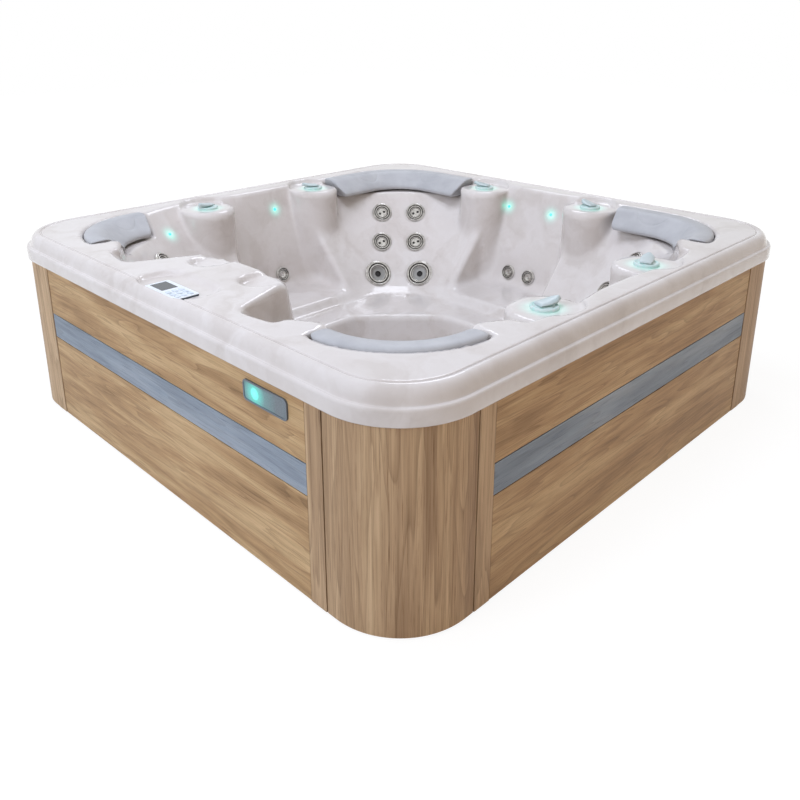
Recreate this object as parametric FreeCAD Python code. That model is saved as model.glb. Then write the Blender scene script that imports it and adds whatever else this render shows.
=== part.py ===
import FreeCAD, Part
import math
import os

# Square hot tub with an acrylic shell in a boarded cabinet. Millimetres, +Z up.
# The origin is on the floor under the middle of the tub.
# The front (-Y) carries the control panel and the right side is +X.

Vec = FreeCAD.Vector

# Cabinet
cabinet_side = 2180.0
cabinet_radius = 236.0
board_thickness = 18.0
board_floor_gap = 8.0
board_joint = 3.0
stripe_bottom = 328.0
stripe_height = 94.0
board_top = 622.0
corner_reach = 269.0
trim_width = 65.0
trim_proud = 1.5

# Lip of the shell
lip_overhang = 11.0
flange_bottom = 603.0
flange_height = 46.0
flange_wall = 8.0
lip_rise = 45.0
lip_bevel = 50.0
bead_cut = 4.0
lip_inner_height = 640.0
deck_hollow_inset = 64.0

# Seats and footwell
shell_wall = 10.0
rim_inset = 125.0
rim_radius = 327.0
corner_seat_height = 196.0
side_seat_height = 234.0
pocket_inset = 763.0
pocket_seat_radius = 241.0
pocket_rim_radius = 659.0
basin_inset = 545.0
bay_column_overlap = 66.0
bay_seat_inset = 268.0
bay_rim_inset = 132.0
well_step = 175.0
well_flat_half = 114.0
well_draft = 36.0
well_floor = 42.0

# Lever shelves and their columns
lever_shift = 25.0
column_inset = 185.0
column_radius = 118.0
shelf_drop = 22.0

# Console under the control panel
console_tip_inset = 383.0
console_foot_inset = 450.0
console_root_inset = 105.0
console_tip_half = 216.0
console_root_half = 330.0
console_foot_half = 250.0
scoop_offset = 146.0
scoop_inset = 318.0
scoop_radius = 66.0
scoop_depth = 16.0
bezel_half = 156.0
bezel_half_depth = 78.0
bezel_radius = 60.0
bezel_depth = 14.0
bezel_inset = 106.0

# Head pillows
pillow_width = 150.0
pillow_top_width = 72.0
pillow_drop = 85.0
pillow_crown = 9.0
pillow_gap = 2.0
pillow_edge = 14.0
back_left_pillow_runs = (551.0, 551.0)
back_right_pillow_runs = (329.0, 529.0)
front_left_pillow_runs = (365.0, 335.0)
front_right_pillow_runs = (353.0, 349.0)

# Control panel
panel_width = 186.0
panel_depth = 84.0
panel_height = 12.0
panel_radius = 6.0
panel_x = 18.0
panel_inset = 76.0
panel_pocket_depth = 5.0
display_width = 76.0
display_depth = 56.0
display_sink = 2.0
key_width = 20.0
key_depth = 15.0
key_pitch_x = 26.0
key_pitch_y = 22.0
key_height = 7.0
key_proud = 1.6
key_travel = 1.0
key_clearance = 0.4
key_radius = 3.0
key_field_offset = 46.0
display_offset = 46.0

# Marker plate on the front upper board
marker_width = 190.0
marker_height = 62.0
marker_depth = 5.0
marker_radius = 14.0
marker_inset = 160.0
marker_z = 546.0
marker_rim = 5.0
marker_lens_step = 1.5

# Valve levers
lever_base_radius = 44.0
lever_base_height = 9.0
lever_hub_radius = 24.0
lever_hub_height = 15.0
lever_length = 58.0
lever_width = 30.0
lever_height = 26.0
lever_stem_radius = 9.0
lever_stem_length = 22.0
lever_running_gap = 0.6
stem_fit = 0.05
valve_radius = 30.0
valve_length = 120.0

# Jets
large_jet_radius = 66.0
medium_jet_radius = 50.0
small_jet_radius = 36.0
jet_body_share = 0.70
jet_seat_clearance = 4.0
jet_seat_sink = 4.0
jet_face_height = 11.0
jet_running_gap = 1.0
jet_body_length = 70.0
jet_spindle_radius = 12.0
jet_spindle_length = 34.0
jet_tilt = 32.0
large_jet_height = 262.0
lower_jet_height = 392.0
upper_jet_height = 519.0
large_jet_spread = 102.0
medium_jet_spread = 86.0
small_jet_height = 296.0
small_jet_spread = 59.0
small_jet_shift = -26.0
side_jet_shift = 44.0
side_wall_tilt = 15.0

# Lights at the waterline
light_radius = 11.0
light_proud = 3.0
light_height = 596.0
light_length = 24.0
light_bay_share = 0.69
light_corner_heading = 199.0

# Suction covers in the footwell
suction_radius = 48.0
suction_proud = 16.0
suction_height = 114.0
suction_offset = 54.0
suction_slot_width = 5.0
suction_slot_count = 5

# Base and frame
pan_height = 30.0
pan_rib_width = 60.0
pan_recess = 14.0
upright_size = 45.0
rail_height = 45.0

# Machinery behind the front boards
pump_inset = 336.0
pump_setback = 167.0
motor_radius = 72.0
motor_length = 250.0
wet_end_radius = 82.0
wet_end_length = 96.0
port_radius = 30.0
port_length = 40.0
heater_radius = 34.0
heater_length = 360.0
heater_run = 220.0
heater_flange_radius = 45.0
heater_flange_length = 14.0
control_box_width = 320.0
control_box_depth = 92.0
control_box_height = 210.0
control_box_bottom = 250.0
control_box_inset = 316.0
control_box_lid = 6.0
canister_radius = 78.0
canister_length = 330.0
canister_inset = 116.0
canister_wall = 5.0
cartridge_radius = 62.0
cartridge_bore = 24.0
pipe_radius = 24.0
pipe_bend = 60.0
manifold_inset = 130.0
fitting_inset = 116.0
drain_z = 70.0
drain_radius = 22.0
drain_flange_radius = 36.0
drain_flange_thickness = 4.0
drain_cap_length = 10.0
gland_z = 90.0
gland_radius = 13.0
gland_nut_radius = 20.0
gland_nut_length = 10.0
gland_tail = 22.0

# One overrun for every cut
overrun = 20.0

# Places worked out from the sizes above
cabinet_half = cabinet_side / 2
lip_half = cabinet_half + lip_overhang
lip_radius = cabinet_radius + lip_overhang
flange_top = flange_bottom + flange_height
deck_height = flange_top + lip_rise
board_back = cabinet_half - board_thickness
seam = cabinet_half - corner_reach
board_end = seam - trim_width
shelf_height = deck_height - shelf_drop
deck_underside = deck_height - shell_wall
rim_half = cabinet_half - rim_inset
pocket_center = cabinet_half - pocket_inset
basin_half = cabinet_half - basin_inset
well_half = basin_half - well_step
well_chamfer = well_half - well_flat_half
lever_offset = pocket_center - lever_shift
column_center = cabinet_half - column_inset
bay_half_width = lever_offset - bay_column_overlap
bay_seat_reach = cabinet_half - bay_seat_inset
bay_rim_reach = cabinet_half - bay_rim_inset
console_tip = cabinet_half - console_tip_inset
console_foot = cabinet_half - console_foot_inset
console_root = cabinet_half - console_root_inset
scoop_reach = cabinet_half - scoop_inset
bezel_reach = cabinet_half - bezel_inset
panel_reach = cabinet_half - panel_inset
seat_rise = deck_height - corner_seat_height
pocket_slope = (pocket_rim_radius - pocket_seat_radius) / seat_rise
bay_slope = (bay_rim_reach - bay_seat_reach) / (deck_height - side_seat_height)
panel_bottom = deck_height - bezel_depth - panel_pocket_depth
panel_top = panel_bottom + panel_height
machine_floor = pan_height
marker_x = board_end - marker_inset
fitting_x = board_end - fitting_inset
pump_x = pump_inset - board_end
pump_y = pump_setback - board_back
canister_x = board_end - canister_inset
heater_x = canister_x - heater_run - heater_length
control_box_x = control_box_inset - board_end
manifold_half = cabinet_half - manifold_inset


def box(x0, x1, y0, y1, z0, z1):
    """Box between two corners."""
    return Part.makeBox(x1 - x0, y1 - y0, z1 - z0, Vec(x0, y0, z0))


def centered_box(width, depth, height, x, y, z):
    """Box centred on x and y that stands on z."""
    return box(x - width / 2, x + width / 2, y - depth / 2, y + depth / 2, z, z + height)


def rod(radius, length, place, axis):
    """Cylinder from a place along an axis."""
    return Part.makeCylinder(radius, length, place, axis)


def rounded_rectangle(half_x, half_y, radius, z):
    """Closed wire of four lines and four quarter arcs about the origin."""
    edges = []
    corners = ((1, 1, 0), (-1, 1, 90), (-1, -1, 180), (1, -1, 270))
    for index, (sign_x, sign_y, start) in enumerate(corners):
        middle = Vec(sign_x * (half_x - radius), sign_y * (half_y - radius), z)
        arc = Part.makeCircle(radius, middle, Vec(0, 0, 1), start, start + 90)
        following = corners[(index + 1) % 4]
        turn = math.radians(start + 90)
        out = Vec(math.cos(turn), math.sin(turn), 0) * radius
        next_middle = Vec(following[0] * (half_x - radius), following[1] * (half_y - radius), z)
        edges.append(arc)
        if (next_middle - middle).Length > 0:
            edges.append(Part.makeLine(middle + out, next_middle + out))
    return Part.Wire(edges)


def rounded_block(half_x, half_y, radius, z0, z1):
    """Upright prism on a rounded rectangle."""
    face = Part.Face(rounded_rectangle(half_x, half_y, radius, z0))
    return face.extrude(Vec(0, 0, z1 - z0))


def polygon_face(points):
    """Flat face inside a closed row of points."""
    return Part.Face(Part.makePolygon(list(points) + [points[0]]))


def prismoid(low, high):
    """Solid with flat facets between two polygons of equally many corners."""
    faces = [polygon_face(low), polygon_face(high)]
    for index in range(len(low)):
        following = (index + 1) % len(low)
        faces.append(polygon_face([low[index], low[following], high[following]]))
        faces.append(polygon_face([low[index], high[following], high[index]]))
    solid = Part.makeSolid(Part.makeShell(faces))
    if solid.Volume < 0:
        solid.reverse()
    return solid.removeSplitter()


def moved(shape, x, y, z):
    """Copy of a shape shifted by x, y and z."""
    copy = shape.copy()
    copy.translate(Vec(x, y, z))
    return copy


def turned(shape, degrees):
    """Copy of a shape turned about the tub's upright axis."""
    copy = shape.copy()
    copy.rotate(Vec(0, 0, 0), Vec(0, 0, 1), degrees)
    return copy


def placed(shape, place, axis):
    """Copy of a shape built on the origin along +Z, put on a place and axis."""
    copy = shape.copy()
    copy.Placement = FreeCAD.Placement(place, FreeCAD.Rotation(Vec(0, 0, 1), axis))
    return copy


def edges_at_height(shape, height):
    """Edges that lie wholly at one height."""
    found = []
    for edge in shape.Edges:
        span = edge.BoundBox
        if abs(span.ZMin - height) < edge_match and abs(span.ZMax - height) < edge_match:
            found.append(edge)
    return found


# How close an edge lies to a height to count as being there
edge_match = 0.01


def save(name, shape):
    """Write one named piece."""
    shape.exportStep("parts/" + name + ".step")


def group(solids):
    """Several separate solids kept as one node."""
    return Part.makeCompound(solids)


# Shell
def lip_block():
    """Lip, bead, sloping band and deck, hollow underneath."""
    outer = rounded_block(lip_half, lip_half, lip_radius, flange_bottom, deck_height)
    outer = outer.makeChamfer(lip_rise, lip_bevel, edges_at_height(outer, deck_height))
    outer = outer.makeChamfer(bead_cut, edges_at_height(outer, flange_top))
    inside = lip_half - flange_wall
    low = rounded_block(inside, inside, lip_radius - flange_wall, flange_bottom - overrun, lip_inner_height)
    inside = lip_half - deck_hollow_inset
    high = rounded_block(inside, inside, lip_radius - deck_hollow_inset, flange_bottom, deck_underside)
    return outer.cut(low).cut(high)


def pocket(grow, bottom):
    """Reclined round pocket of one corner seat, as a cone that opens upward."""
    low = pocket_seat_radius + grow - pocket_slope * (corner_seat_height - bottom)
    high = pocket_rim_radius + grow + pocket_slope * overrun
    cone = Part.makeCone(low, high, deck_height + overrun - bottom)
    return moved(cone, pocket_center, pocket_center, bottom)


def bay(half_width, seat_reach, rim_reach, bottom, top):
    """Bay toward -Y between two columns, with a reclined back wall."""
    slope = (rim_reach - seat_reach) / (deck_height - side_seat_height)
    profile = polygon_face([
        Vec(0, 0, bottom),
        Vec(0, -seat_reach - slope * (bottom - side_seat_height), bottom),
        Vec(0, -seat_reach - slope * (top - side_seat_height), top),
        Vec(0, 0, top),
    ])
    solid = profile.extrude(Vec(2 * half_width, 0, 0))
    return moved(solid, -half_width, 0, 0)


def bays(grow, bottom, top):
    """Three side seat bays and the shallow bay in front of the console."""
    solids = [bay(console_tip_half + grow, console_foot + grow, console_tip + grow, bottom, top)]
    for quarter in range(1, 4):
        seat = bay(bay_half_width + grow, bay_seat_reach + grow, bay_rim_reach + grow, bottom, top)
        solids.append(turned(seat, 90 * quarter))
    return solids


def well_outline(half, chamfer, z):
    """Chamfered square of the footwell."""
    flat = half - chamfer
    points = []
    for sign_x, sign_y in ((1, 1), (-1, 1), (-1, -1), (1, -1)):
        pair = [Vec(sign_x * half, sign_y * flat, z), Vec(sign_x * flat, sign_y * half, z)]
        if sign_x * sign_y < 0:
            pair.reverse()
        points += pair
    return points


def well(grow, bottom, top):
    """Footwell that narrows downward."""
    low = well_outline(well_half + grow - well_draft, well_chamfer - well_draft / 2, bottom)
    high = well_outline(well_half + grow, well_chamfer, top)
    return prismoid(low, high)


def cavity():
    """Everything that is hollow inside the rim."""
    top = deck_height + overrun
    hollow = rounded_block(basin_half, basin_half, basin_half / 2, corner_seat_height, top)
    for quarter in range(4):
        hollow = hollow.fuse(turned(pocket(0, corner_seat_height), 90 * quarter))
    for solid in bays(0, side_seat_height, top):
        hollow = hollow.fuse(solid)
    return hollow.fuse(well(0, well_floor, corner_seat_height))


def bowl():
    """Outside of the moulded bowl under the deck."""
    bottom = corner_seat_height - shell_wall
    top = deck_underside
    half = basin_half + shell_wall
    body = rounded_block(half, half, half / 2, bottom, top)
    trim = rounded_block(lip_half, lip_half, lip_radius, bottom, top)
    for quarter in range(4):
        body = body.fuse(turned(pocket(shell_wall, bottom), 90 * quarter).common(trim))
    for solid in bays(shell_wall, side_seat_height - shell_wall, top):
        body = body.fuse(solid)
    return body.fuse(well(shell_wall, pan_height, bottom))


def lever_places():
    """Middle of each lever shelf, as x and y."""
    places = []
    for quarter in range(1, 4):
        turn = math.radians(90 * quarter)
        for side in (-1, 1):
            across = side * lever_offset
            x = across * math.cos(turn) + column_center * math.sin(turn)
            y = across * math.sin(turn) - column_center * math.cos(turn)
            places.append((x, y))
    return places


def columns(radius, bottom, top):
    """Round columns that carry the lever shelves, or their hollows."""
    solids = []
    for x, y in lever_places():
        solids.append(moved(Part.makeCylinder(radius, top - bottom), x, y, bottom))
    return solids


def console_section(grow, tip, tip_half, z):
    """Outline of the console at one height, flared toward the lip."""
    return [
        Vec(-console_root_half - grow, -console_root, z),
        Vec(console_root_half + grow, -console_root, z),
        Vec(tip_half + grow, -tip + grow, z),
        Vec(-tip_half - grow, -tip + grow, z),
    ]


def console_block(grow, top):
    """Peninsula that carries the control panel, with a sloping front."""
    low = console_section(grow, console_foot, console_foot_half, side_seat_height)
    high = console_section(grow, console_tip, console_tip_half, top)
    return prismoid(low, high)


def pillow_section(width, drop, top_width, crown):
    """Head pillow in section: crowned top, sloping face and a flat seat."""
    run = width - pillow_gap
    toe = Vec(-run, 0, -drop + pillow_edge)
    brow = Vec(-top_width, 0, 0)
    return polygon_face([
        Vec(0, 0, 0),
        Vec(0, 0, -drop + pillow_edge),
        Vec(-pillow_edge, 0, -drop),
        Vec(-run + pillow_edge, 0, -drop),
        toe,
        (toe + brow) * (1 / 2) + Vec(-crown, 0, crown),
        brow,
        Vec(-top_width / 2, 0, crown / 3),
    ])


def around_corner(section, ends, inset):
    """Section carried round the +X, +Y corner of the rim, with straight ends."""
    middle = rim_half - rim_radius
    reach = rim_half - inset
    end_x, end_y = ends
    first = moved(section, reach, 0, 0)
    arc = moved(section, reach - middle, 0, 0)
    turn = arc.revolve(Vec(0, 0, 0), Vec(0, 0, 1), 90)
    solids = [moved(turn, middle, middle, 0)]
    if middle - end_x > edge_match:
        start = moved(first, 0, end_x, 0)
        solids.append(start.extrude(Vec(0, middle - end_x, 0)))
    if middle - end_y > edge_match:
        lying = first.copy()
        lying.rotate(Vec(0, 0, 0), Vec(0, 0, 1), 90)
        lying = moved(lying, end_y, 0, 0)
        solids.append(lying.extrude(Vec(middle - end_y, 0, 0)))
    whole = solids[0]
    for solid in solids[1:]:
        whole = whole.fuse(solid)
    return whole.removeSplitter()


def pillow_specs():
    """Name, turn and ends of each corner's pillow."""
    corners = (
        ("pillow_back_right", 0, back_right_pillow_runs),
        ("pillow_back_left", 90, back_left_pillow_runs),
        ("pillow_front_left", 180, front_left_pillow_runs),
        ("pillow_front_right", 270, front_right_pillow_runs),
    )
    return [(name, turn, (rim_half - runs[0], rim_half - runs[1])) for name, turn, runs in corners]


def pillow_solid(ends):
    """One head pillow at its place in the +X, +Y corner."""
    section = pillow_section(pillow_width, pillow_drop, pillow_top_width, pillow_crown)
    solid = around_corner(section, ends, pillow_gap)
    return moved(solid, 0, 0, deck_height - pillow_gap)


def pillow_recess(ends):
    """Ledge cut under one pillow, open to the seat."""
    reach = rim_half - rim_radius
    low = deck_height - pillow_gap - pillow_drop
    top = deck_height + overrun
    face = polygon_face([
        Vec(0, 0, low),
        Vec(0, 0, top),
        Vec(-pillow_width, 0, top),
        Vec(-pillow_width, 0, low),
    ])
    opened = (min(ends[0] - pillow_gap, reach), min(ends[1] - pillow_gap, reach))
    return around_corner(face, opened, 0)


def bezel_cut():
    """Half-oval dish round the control panel."""
    shape = rounded_block(bezel_half, bezel_half_depth, bezel_radius, 0, bezel_depth + overrun)
    return moved(shape, 0, -bezel_reach, deck_height - bezel_depth)


def panel_tray():
    """Thickened deck that holds the control panel's dish."""
    half = bezel_half + shell_wall
    bottom = panel_bottom - shell_wall
    return box(-half, half, -lip_half + deck_hollow_inset - shell_wall, -console_tip, bottom, deck_underside)


def scoop_cut(side):
    """Shallow round scoop at the console's edge, deeper toward the outside."""
    disc = Part.makeCylinder(scoop_radius, scoop_depth + overrun)
    disc.rotate(Vec(0, 0, 0), Vec(1, 0, 0), -math.degrees(math.atan(scoop_depth / (4 * scoop_radius))))
    return moved(disc, side * scoop_offset, -scoop_reach, deck_height - scoop_depth)


def corner_jets():
    """Places, axes and radii of the six jets in the back left corner."""
    rows = (
        ("upper", upper_jet_height, medium_jet_spread, medium_jet_radius),
        ("lower", lower_jet_height, medium_jet_spread, medium_jet_radius),
        ("large", large_jet_height, large_jet_spread, large_jet_radius),
    )
    jets = []
    for name, height, spread, radius in rows:
        reach = pocket_seat_radius + pocket_slope * (height - corner_seat_height)
        for side, word in ((-1, "left"), (1, "right")):
            swing = math.asin(side * spread / reach)
            heading = math.radians(135) - swing
            out = Vec(math.cos(heading), math.sin(heading), 0)
            place = Vec(-pocket_center, pocket_center, height) + out * reach
            tilt = math.radians(jet_tilt)
            axis = out * (-math.cos(tilt)) + Vec(0, 0, math.sin(tilt))
            jets.append((name + "_" + word, place, axis, radius))
    return jets


def side_jets():
    """Places, axes and radii of the small jets on the back and left walls."""
    reach = bay_seat_reach + bay_slope * (small_jet_height - side_seat_height)
    tilt = math.radians(side_wall_tilt)
    jets = []
    for side, word in ((-1, "left"), (1, "right")):
        place = Vec(small_jet_shift + side * small_jet_spread, reach, small_jet_height)
        axis = Vec(0, -math.cos(tilt), math.sin(tilt))
        jets.append(("small_back_" + word, place, axis, small_jet_radius))
    place = Vec(-reach, side_jet_shift, small_jet_height)
    axis = Vec(math.cos(tilt), 0, math.sin(tilt))
    jets.append(("small_side", place, axis, small_jet_radius))
    return jets


def hidden_jets():
    """Places, axes and radii of the jets in the three other corner seats."""
    jets = []
    for turn in (90, 180, 270):
        spin = FreeCAD.Rotation(Vec(0, 0, 1), turn)
        for name, place, axis, radius in corner_jets():
            jets.append((name, spin.multVec(place), spin.multVec(axis), radius))
    return jets


def jet_seat(place, axis, radius):
    """Flat seat and through hole for one jet."""
    start = place - axis * jet_seat_sink
    seat = rod(radius + jet_seat_clearance, jet_seat_sink + overrun * 2, start, axis)
    hole = rod(radius * jet_body_share, jet_body_length, start - axis * jet_body_length, axis)
    return seat.fuse(hole)


def light_places():
    """Places and axes of the waterline lights."""
    reach = bay_seat_reach + bay_slope * (light_height - side_seat_height)
    pocket_reach = pocket_seat_radius + pocket_slope * (light_height - corner_seat_height)
    across = bay_half_width * light_bay_share
    lights = [
        (Vec(-across, reach, light_height), Vec(0, -1, 0)),
        (Vec(across / 2, reach, light_height), Vec(0, -1, 0)),
        (Vec(-reach, across / 2, light_height), Vec(1, 0, 0)),
        (Vec(reach, across / 2, light_height), Vec(-1, 0, 0)),
    ]
    for sign in (-1, 1):
        heading = math.radians(light_corner_heading)
        out = Vec(math.cos(heading), math.sin(heading), 0)
        place = Vec(-pocket_center, -pocket_center, light_height) + out * pocket_reach
        out.x = -sign * out.x
        place.x = -sign * place.x
        lights.append((place, out * -1))
    return lights


def acrylic_shell():
    """Lip, deck, seats, footwell, columns and console in one moulding."""
    outside = bowl()
    shelf_pans = columns(column_radius + shell_wall, shelf_height - shell_wall, deck_height)
    shell = lip_block().fuse([outside] + shelf_pans).cut(cavity())
    inside = lip_half - deck_hollow_inset
    plate = rounded_block(inside, inside, lip_radius - deck_hollow_inset, deck_underside, deck_height)
    limits = outside.fuse(plate)
    shell = shell.fuse(panel_tray())
    for solid in columns(column_radius, side_seat_height, deck_underside) + [console_block(0, deck_height)]:
        shell = shell.fuse(solid.common(limits))
    underside = deck_height - scoop_depth - shell_wall
    cutters = columns(column_radius - shell_wall, 0, shelf_height - shell_wall)
    cutters.append(console_block(-shell_wall, deck_height).common(rounded_block(lip_half, lip_half, lip_radius, 0, underside)))
    for x, y in lever_places():
        cutters.append(moved(Part.makeCylinder(column_radius, shelf_drop + overrun), x, y, shelf_height))
        cutters.append(moved(Part.makeCylinder(valve_radius, valve_length), x, y, shelf_height - valve_length))
    for name, turn, ends in pillow_specs():
        cutters.append(turned(pillow_recess(ends), turn))
    for place, axis, radius in [jet[1:] for jet in corner_jets() + side_jets() + hidden_jets()]:
        cutters.append(jet_seat(place, axis, radius))
    for place, axis in light_places():
        cutters.append(rod(light_radius, light_length + overrun, place - axis * light_length, axis))
    cutters.append(bezel_cut())
    cutters.append(scoop_cut(-1))
    cutters.append(scoop_cut(1))
    cutters.append(panel_block(panel_pocket_depth + overrun, panel_bottom))
    for place, axis in suction_places():
        cutters.append(rod(port_radius, shell_wall * 3, place - Vec(0, shell_wall * 2, 0), Vec(0, 1, 0)))
    return shell.cut(cutters).removeSplitter()


# Control panel
def panel_block(height, bottom):
    """Rounded slab of the control panel's outline."""
    block = rounded_block(panel_width / 2, panel_depth / 2, panel_radius, 0, height)
    return moved(block, panel_x, -panel_reach, bottom)


def key_places():
    """Centres of the nine keys, row by row from the back."""
    places = []
    for row in (1, 0, -1):
        for column in (-1, 0, 1):
            x = panel_x + key_field_offset + column * key_pitch_x
            y = -panel_reach + row * key_pitch_y
            places.append((x, y))
    return places


def control_panel():
    """Housing, display lens and nine keys."""
    top = panel_top
    housing = panel_block(panel_height, panel_bottom)
    lens_x = panel_x - display_offset
    window = centered_box(display_width, display_depth, display_sink + overrun, lens_x, -panel_reach, top - display_sink)
    housing = housing.cut(window)
    for x, y in key_places():
        well_cut = rounded_block(
            key_width / 2 + key_clearance,
            key_depth / 2 + key_clearance,
            key_radius + key_clearance,
            0,
            key_height + overrun,
        )
        housing = housing.cut(moved(well_cut, x, y, top - key_height + key_proud - key_travel - key_clearance))
    save("panel_housing", housing)
    lens = centered_box(display_width, display_depth, display_sink, lens_x, -panel_reach, top - display_sink)
    save("panel_display", lens)
    for index, (x, y) in enumerate(key_places()):
        key = rounded_block(key_width / 2, key_depth / 2, key_radius, 0, key_height)
        save("panel_key_%d" % (index + 1), moved(key, x, y, top - key_height + key_proud))


# Cabinet
def corner_panel():
    """Curved corner panel of the +X, +Y corner."""
    outer = rounded_block(cabinet_half, cabinet_half, cabinet_radius, board_floor_gap, board_top)
    inner_radius = cabinet_radius - board_thickness
    inner = rounded_block(board_back, board_back, inner_radius, 0, board_top + overrun)
    ring = outer.cut(inner)
    edge = seam + board_joint / 2
    keep = box(edge, lip_half, edge, lip_half, 0, board_top)
    return ring.common(keep)


def board(x0, x1, z0, z1, proud):
    """Upright board on the front side between two places across."""
    return box(x0, x1, -cabinet_half - proud, -board_back, z0, z1)


def panel_strips():
    """Height spans of the lower, stripe and upper boards."""
    gap = board_joint / 2
    stripe_top = stripe_bottom + stripe_height
    lower = (board_floor_gap, stripe_bottom - gap)
    stripe = (stripe_bottom + gap, stripe_top - gap)
    upper = (stripe_top + gap, board_top)
    return lower, stripe, upper


def cabinet():
    """Corner panels, trim strips and boards."""
    corners = (("back_right", 0), ("back_left", 90), ("front_left", 180), ("front_right", 270))
    for name, turn in corners:
        save("corner_panel_" + name, turned(corner_panel(), turn))
    gap = board_joint / 2
    trims = []
    for quarter in range(4):
        for side in (-1, 1):
            ends = sorted((side * (board_end + gap), side * (seam - gap)))
            trim = board(ends[0], ends[1], board_floor_gap, board_top, trim_proud)
            trims.append(turned(trim, 90 * quarter))
    save("trim_strips", group(trims))
    span = board_end - gap
    lower, stripe, upper = panel_strips()
    front_upper = board(-span, span, upper[0], upper[1], 0)
    save("front_upper_board", front_upper)
    save("front_lower_board", board(-span, span, lower[0], lower[1], 0))
    uppers = []
    lowers = []
    stripes = []
    for quarter in range(4):
        stripes.append(turned(board(-span, span, stripe[0], stripe[1], 0), 90 * quarter))
        if quarter:
            uppers.append(turned(board(-span, span, upper[0], upper[1], 0), 90 * quarter))
            lowers.append(turned(board(-span, span, lower[0], lower[1], 0), 90 * quarter))
    for place_x, place_z, radius in ((fitting_x, drain_z, drain_radius), (-fitting_x, gland_z, gland_radius)):
        start = Vec(place_x, board_back - overrun, place_z)
        lowers[1] = lowers[1].cut(rod(radius, board_thickness + 2 * overrun, start, Vec(0, 1, 0)))
    save("side_upper_boards", group(uppers))
    save("side_lower_boards", group(lowers))
    save("stripe_boards", group(stripes))


def marker():
    """Lit plate on the front upper board: rim and lens."""
    plate = rounded_block(marker_width / 2, marker_height / 2, marker_radius, 0, marker_depth)
    inner_x = marker_width / 2 - marker_rim
    inner_y = marker_height / 2 - marker_rim
    inner_radius = marker_radius - marker_rim
    window = rounded_block(inner_x, inner_y, inner_radius, marker_depth - marker_lens_step * 2, marker_depth)
    lens = rounded_block(inner_x, inner_y, inner_radius, 0, marker_lens_step)
    lens = moved(lens, 0, 0, marker_depth - marker_lens_step * 2)
    place = FreeCAD.Placement(Vec(marker_x, -cabinet_half, marker_z), FreeCAD.Rotation(Vec(1, 0, 0), 90))
    housing = plate.cut(window)
    housing.Placement = place
    lens.Placement = place.multiply(FreeCAD.Placement(lens.Placement))
    save("marker_housing", housing)
    save("marker_lens", lens)


# Levers
def lever_cap():
    """Teardrop lever with a raised, pointed grip on a round hub."""
    hub = Part.makeCone(lever_hub_radius, lever_hub_radius * lever_taper_share, lever_hub_height)
    tip_half = lever_width * lever_tip_share / 2
    low = [
        Vec(-lever_hub_radius, -lever_width / 2, 0),
        Vec(lever_length, -tip_half, 0),
        Vec(lever_length, tip_half, 0),
        Vec(-lever_hub_radius, lever_width / 2, 0),
    ]
    top_half = tip_half * lever_tip_share
    crest = lever_hub_height * lever_crest_share
    high = [
        Vec(-lever_hub_radius * lever_tip_share, -top_half, crest),
        Vec(lever_length, -top_half, lever_height),
        Vec(lever_length, top_half, lever_height),
        Vec(-lever_hub_radius * lever_tip_share, top_half, crest),
    ]
    grip = prismoid(low, high)
    stem = Part.makeCylinder(lever_stem_radius, lever_stem_length, Vec(0, 0, -lever_stem_length))
    return hub.fuse(grip).fuse(stem).removeSplitter()


# Shares of the lever cap's own sizes
lever_taper_share = 0.8
lever_tip_share = 0.5
lever_crest_share = 0.9


def lever_names():
    """Lever names in the order of the shelves."""
    return (
        "lever_right_front",
        "lever_right_back",
        "lever_back_right",
        "lever_back_left",
        "lever_left_back",
        "lever_left_front",
    )


def levers():
    """Six lever caps, and their lit bases with the valve bodies below."""
    bases = []
    base_top = shelf_height + lever_base_height
    for index, (x, y) in enumerate(lever_places()):
        ring = Part.makeCone(lever_base_radius, lever_base_radius - lever_base_height / 2, lever_base_height)
        ring = moved(ring, x, y, shelf_height)
        valve = moved(Part.makeCylinder(valve_radius, valve_length), x, y, shelf_height - valve_length)
        bore = moved(
            Part.makeCylinder(lever_stem_radius + stem_fit, lever_stem_length + overrun),
            x,
            y,
            base_top - lever_stem_length,
        )
        bases.append(ring.fuse(valve).cut(bore).removeSplitter())
        heading = math.degrees(math.atan2(y, x)) + 90
        cap = lever_cap()
        cap.rotate(Vec(0, 0, 0), Vec(0, 0, 1), heading)
        save(lever_names()[index], moved(cap, x, y, base_top + lever_running_gap))
    save("lever_bases", group(bases))


# Jets
def jet_face(radius):
    """Ringed jet face with a low centre nose on a spindle, built along +Z."""
    body = radius * jet_body_share
    rise = jet_face_height
    profile = [
        Vec(0, 0, -jet_spindle_length),
        Vec(jet_spindle_radius, 0, -jet_spindle_length),
        Vec(jet_spindle_radius, 0, 0),
        Vec(radius, 0, 0),
        Vec(radius, 0, rise * jet_edge_share),
        Vec(radius * jet_rim_share, 0, rise),
        Vec(body, 0, rise * jet_edge_share),
        Vec(0, 0, rise * jet_nose_share),
    ]
    return polygon_face(profile).revolve(Vec(0, 0, 0), Vec(0, 0, 1), 360)


# Shares of a jet face's radius and height
jet_edge_share = 0.45
jet_rim_share = 0.86
jet_nose_share = 0.8


def jet_body(radius):
    """Jet body behind the wall, with a bore for the spindle and a back nut."""
    sleeve = radius * jet_body_share
    base = -jet_seat_sink
    tube = Part.makeCylinder(sleeve, jet_body_length, Vec(0, 0, base - jet_body_length))
    bore_length = jet_spindle_length + jet_running_gap
    bore = Part.makeCylinder(jet_spindle_radius + stem_fit, bore_length + overrun, Vec(0, 0, base - bore_length))
    return tube.cut(bore)


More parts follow.
